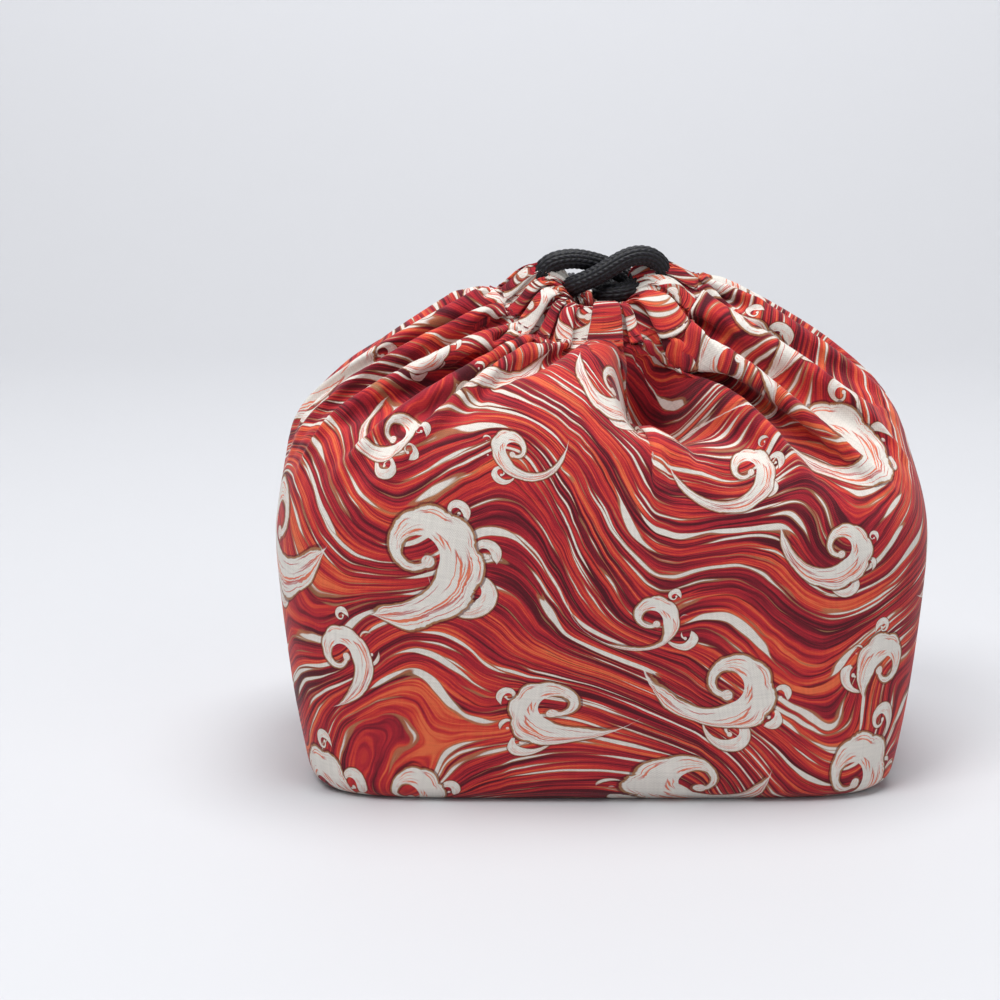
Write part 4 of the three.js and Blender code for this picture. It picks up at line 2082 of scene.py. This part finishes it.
@dataclass
class Stitching:
    """A row of stitches along a line on the cloth.

    Attributes:
        stitch: Length of a stitch.
        gap: Length between stitches.
        radius: Half thickness of the thread.
        raised: Distance of the thread's middle over the cloth.
        rings: Rings of points along a stitch.
        sides: Points in a ring.
    """

    stitch: float = 2.3
    gap: float = 0.9
    radius: float = 0.24
    raised: float = 0.12
    rings: int = 8
    sides: int = 6

    def build(self, name: str, line: np.ndarray, normal: np.ndarray) -> bpy.types.Object:
        """Shape the stitches.

        Each stitch is a long ball: along it the half thickness is r times the square root of
        1 - q q, with q from -1 to 1.

        Args:
            name: Name of the piece.
            line: Points of the line.
            normal: Outward normals of the cloth there.

        Returns:
            The stitches as one piece.
        """
        way = arc_lengths(line)
        count = int(way[-1] // (self.stitch + self.gap))
        starts = np.arange(count) * (self.stitch + self.gap)
        q = np.linspace(-0.98, 0.98, self.rings)
        marks = starts[:, None] + self.stitch * (q[None] + 1) / 2
        at = np.stack([np.interp(marks, way, line[:, k]) for k in range(3)], axis=-1)
        up = np.stack([np.interp(marks, way, normal[:, k]) for k in range(3)], axis=-1)
        up /= np.linalg.norm(up, axis=-1, keepdims=True)
        along = np.gradient(at, axis=1)
        along /= np.maximum(np.linalg.norm(along, axis=-1, keepdims=True), 1e-9)
        side = np.cross(along, up)
        thick = self.radius * np.sqrt(1 - q**2)
        angle = 2 * np.pi * np.arange(self.sides) / self.sides
        ring = np.cos(angle)[:, None] * up[:, :, None] + np.sin(angle)[:, None] * side[:, :, None]
        points = at[:, :, None] + ring * thick[None, :, None, None] + up[:, :, None] * self.raised
        index = np.arange(count * self.rings * self.sides).reshape(count, self.rings, self.sides)
        after = np.roll(index, -1, axis=2)
        corners = [index[:, :-1], index[:, 1:], after[:, 1:], after[:, :-1]]
        quads = np.stack(corners, axis=-1).reshape(-1, 4)
        caps = index[:, 0].tolist() + index[:, -1, ::-1].tolist()
        faces = np.empty(len(quads) + len(caps), dtype=object)
        faces[:] = quads.tolist() + caps
        self.piece = make_piece(name, points.reshape(-1, 3), faces)
        return self.piece

    def dress(self, finish: bpy.types.Material) -> None:
        """Give the stitches their thread.

        Args:
            finish: Material of the thread.
        """
        self.piece.data.materials.append(finish)
        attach(self.piece, "bag")


@dataclass
class Studio:
    """Floor, light and camera.

    Attributes:
        target: Point that the camera looks at, in metres.
        distance: Distance of the camera.
        elevation: Angle of the camera over the floor in degrees.
        bend: Radius in millimetres of the bend from the floor up to the wall.
        lens: Focal length in millimetres on a 36 mm sensor.
        sky: Strength of the light from all round.
        lamps: Name, place in metres, power in watts and edge length in metres of each lamp.
    """

    target: tuple[float, float, float] = (-0.0375, 0.0, 0.096)
    distance: float = 0.9
    elevation: float = 13.0
    bend: float = 700.0
    lens: float = 84.6
    sky: float = 0.33
    lamps: tuple[tuple[str, tuple[float, float, float], float, float], ...] = (
        ("key", (-0.8, -0.9, 1.9), 24.0, 0.9),
        ("fill", (1.3, -1.2, 1.0), 5.0, 1.4),
        ("top", (0.15, 0.15, 1.9), 27.0, 1.1),
    )

    def build(self) -> None:
        """Set up the floor, the lights, the world and the camera."""
        self._floor()
        scene = bpy.context.scene
        world = bpy.data.worlds.new("studio")
        world.use_nodes = True
        shade = world.node_tree.nodes["Background"]
        shade.inputs["Color"].default_value = (0.93, 0.95, 1.0, 1.0)
        shade.inputs["Strength"].default_value = self.sky
        scene.world = world
        for lamp in self.lamps:
            self._light(*lamp)
        scene.view_settings.view_transform = "Standard"
        camera = bpy.data.cameras.new("photo")
        camera.lens = self.lens
        camera.sensor_width = 36.0
        camera.clip_end = 50.0
        made = bpy.data.objects.new("photo", camera)
        rise = math.radians(self.elevation)
        look = Vector((0.0, math.cos(rise), -math.sin(rise)))
        made.location = Vector(self.target) - look * self.distance
        made.rotation_euler = look.to_track_quat("-Z", "Y").to_euler()
        scene.collection.objects.link(made)
        scene.camera = made

    def _floor(self) -> None:
        """Lay the pale floor, which bends up to a wall in a quarter circle far behind."""
        turn = np.linspace(0, np.pi / 2, 24)
        y = np.concatenate([[-3000.0], 900 + self.bend * np.sin(turn), [900 + self.bend]])
        z = np.concatenate([[0.0], self.bend - self.bend * np.cos(turn), [4000.0]])
        x = np.array([-4000.0, 4000.0])
        sweep = np.stack(np.broadcast_arrays(x[None], y[:, None], z[:, None]), axis=-1)
        rise = np.repeat(np.clip(z / self.bend, 0, 1), 2)
        made = make_piece("ground", sweep.reshape(-1, 3), grid_faces(len(y), 2), {"rise": rise})
        graph = Graph("ground")
        # Painted light: the floor is painted darker and the wall behind it lighter as it rises,
        # standing in for how the light falls over the sweep.
        colour = graph.mix(graph.attribute("rise"), linear(205, 206, 209), linear(241, 242, 246))
        finish = graph.finish(Base_Color=colour, Roughness=0.6, Specular_IOR_Level=0.2)
        made.data.materials.append(finish)

    def _light(self, name: str, place: tuple[float, float, float], power: float, size: float) -> None:
        """Hang a soft lamp that looks at the bag.

        Args:
            name: Name of the lamp.
            place: Where it hangs, in metres.
            power: Its power in watts.
            size: Its edge length in metres.
        """
        lamp = bpy.data.lights.new(name, "AREA")
        lamp.energy = power
        lamp.size = size
        made = bpy.data.objects.new(name, lamp)
        made.location = place
        look = Vector((0.0, 0.0, 0.09)) - Vector(place)
        made.rotation_euler = look.to_track_quat("-Z", "Y").to_euler()
        bpy.context.scene.collection.objects.link(made)


@dataclass
class BentoBag:
    """The whole bag.

    Attributes:
        cloth: The drawn outer cloth.
        design: The printed design.
    """

    cloth: DrawnCloth = field(default_factory=DrawnCloth)
    design: Print = field(default_factory=Print)

    def build(self) -> list[bpy.types.Object]:
        """Build and dress every piece.

        Returns:
            The pieces.
        """
        wall = self.cloth.drape()
        printed = PrintedCotton().material()
        plain = PlainCotton().material()
        yarn = BraidedYarn().material()
        thread = SewingThread().material()
        Studio().build()
        made = []
        casings = {}
        for half in Half:
            panel = Panel(half)
            made.append(panel.build(wall, self.design))
            panel.dress(printed, wall)
            lining = Lining(half)
            made.append(lining.build(wall))
            lining.dress(plain, wall)
            casing = Casing(half)
            made.append(casing.build(wall, self.design))
            casing.dress(printed)
            casings[half] = casing
            run = CordRun(half)
            made.append(run.build(wall))
            run.dress(yarn)
            stitches = Stitching()
            name = f"{half.value}_casing_stitches"
            normals = grid_normals(casing.outer)
            made.append(stitches.build(name, casing.outer[STITCH_ROW], normals[STITCH_ROW]))
            stitches.dress(thread)
        for cord in (Drawcord(Side.LEFT, LEFT_ARCH), Drawcord(Side.RIGHT, RIGHT_ARCH)):
            made.append(cord.build(wall, casings[Half.BACK]))
            cord.dress(yarn)
            made.append(cord.knot)
            LOG.info("%s: free length %.1f mm", cord.piece.name, cord.length)
        LOG.info("flat wall %.1f mm round, %.1f mm tall", wall.round, wall.length)
        return made


LEFT_ARCH = np.array(
    [
        [-21.8, 0, 176.5], [-22.4, 0, 180], [-21.6, -0.2, 184], [-18.6, -0.4, 187],
        [-14, -0.2, 188.4], [-9, 0.6, 188.6], [-4, 1.8, 187.6], [1, 3.2, 186], [6, 3.8, 184],
        [10.4, 2.8, 181.6], [12.6, 0.2, 179.2], [11.2, -3, 177.2], [6.8, -4.2, 176.4],
        [2.4, -2.6, 176], [0.4, 1.8, 176], [1.8, 7, 176.6], [5.6, 13.4, 177.4], [10.2, 21, 176.4],
    ]
)
RIGHT_ARCH = np.array(
    [
        [21.8, 0, 177.5], [23, 0, 181], [23, -0.4, 185], [20.8, -1.4, 188.2], [16.8, -2.8, 190.2],
        [12, -4.2, 190.2], [7.4, -5.2, 188.4], [2.8, -5.6, 185.6], [-2, -5.4, 182.8],
        [-7, -4.4, 180.4], [-10.8, -2.4, 178.6], [-12, 0.8, 177], [-10.8, 5, 176.4],
        [-10, 10, 177], [-10, 15.4, 177.4], [-10.2, 21, 176.4],
    ]
)


def main() -> None:
    """Build the bag and report its pieces."""
    logging.basicConfig(level=logging.INFO, format="%(message)s")
    for piece in BentoBag().build():
        triangles = sum(len(face.vertices) - 2 for face in piece.data.polygons)
        LOG.info("%s: %d triangles", piece.name, triangles)


if __name__ == "__main__":
    main()
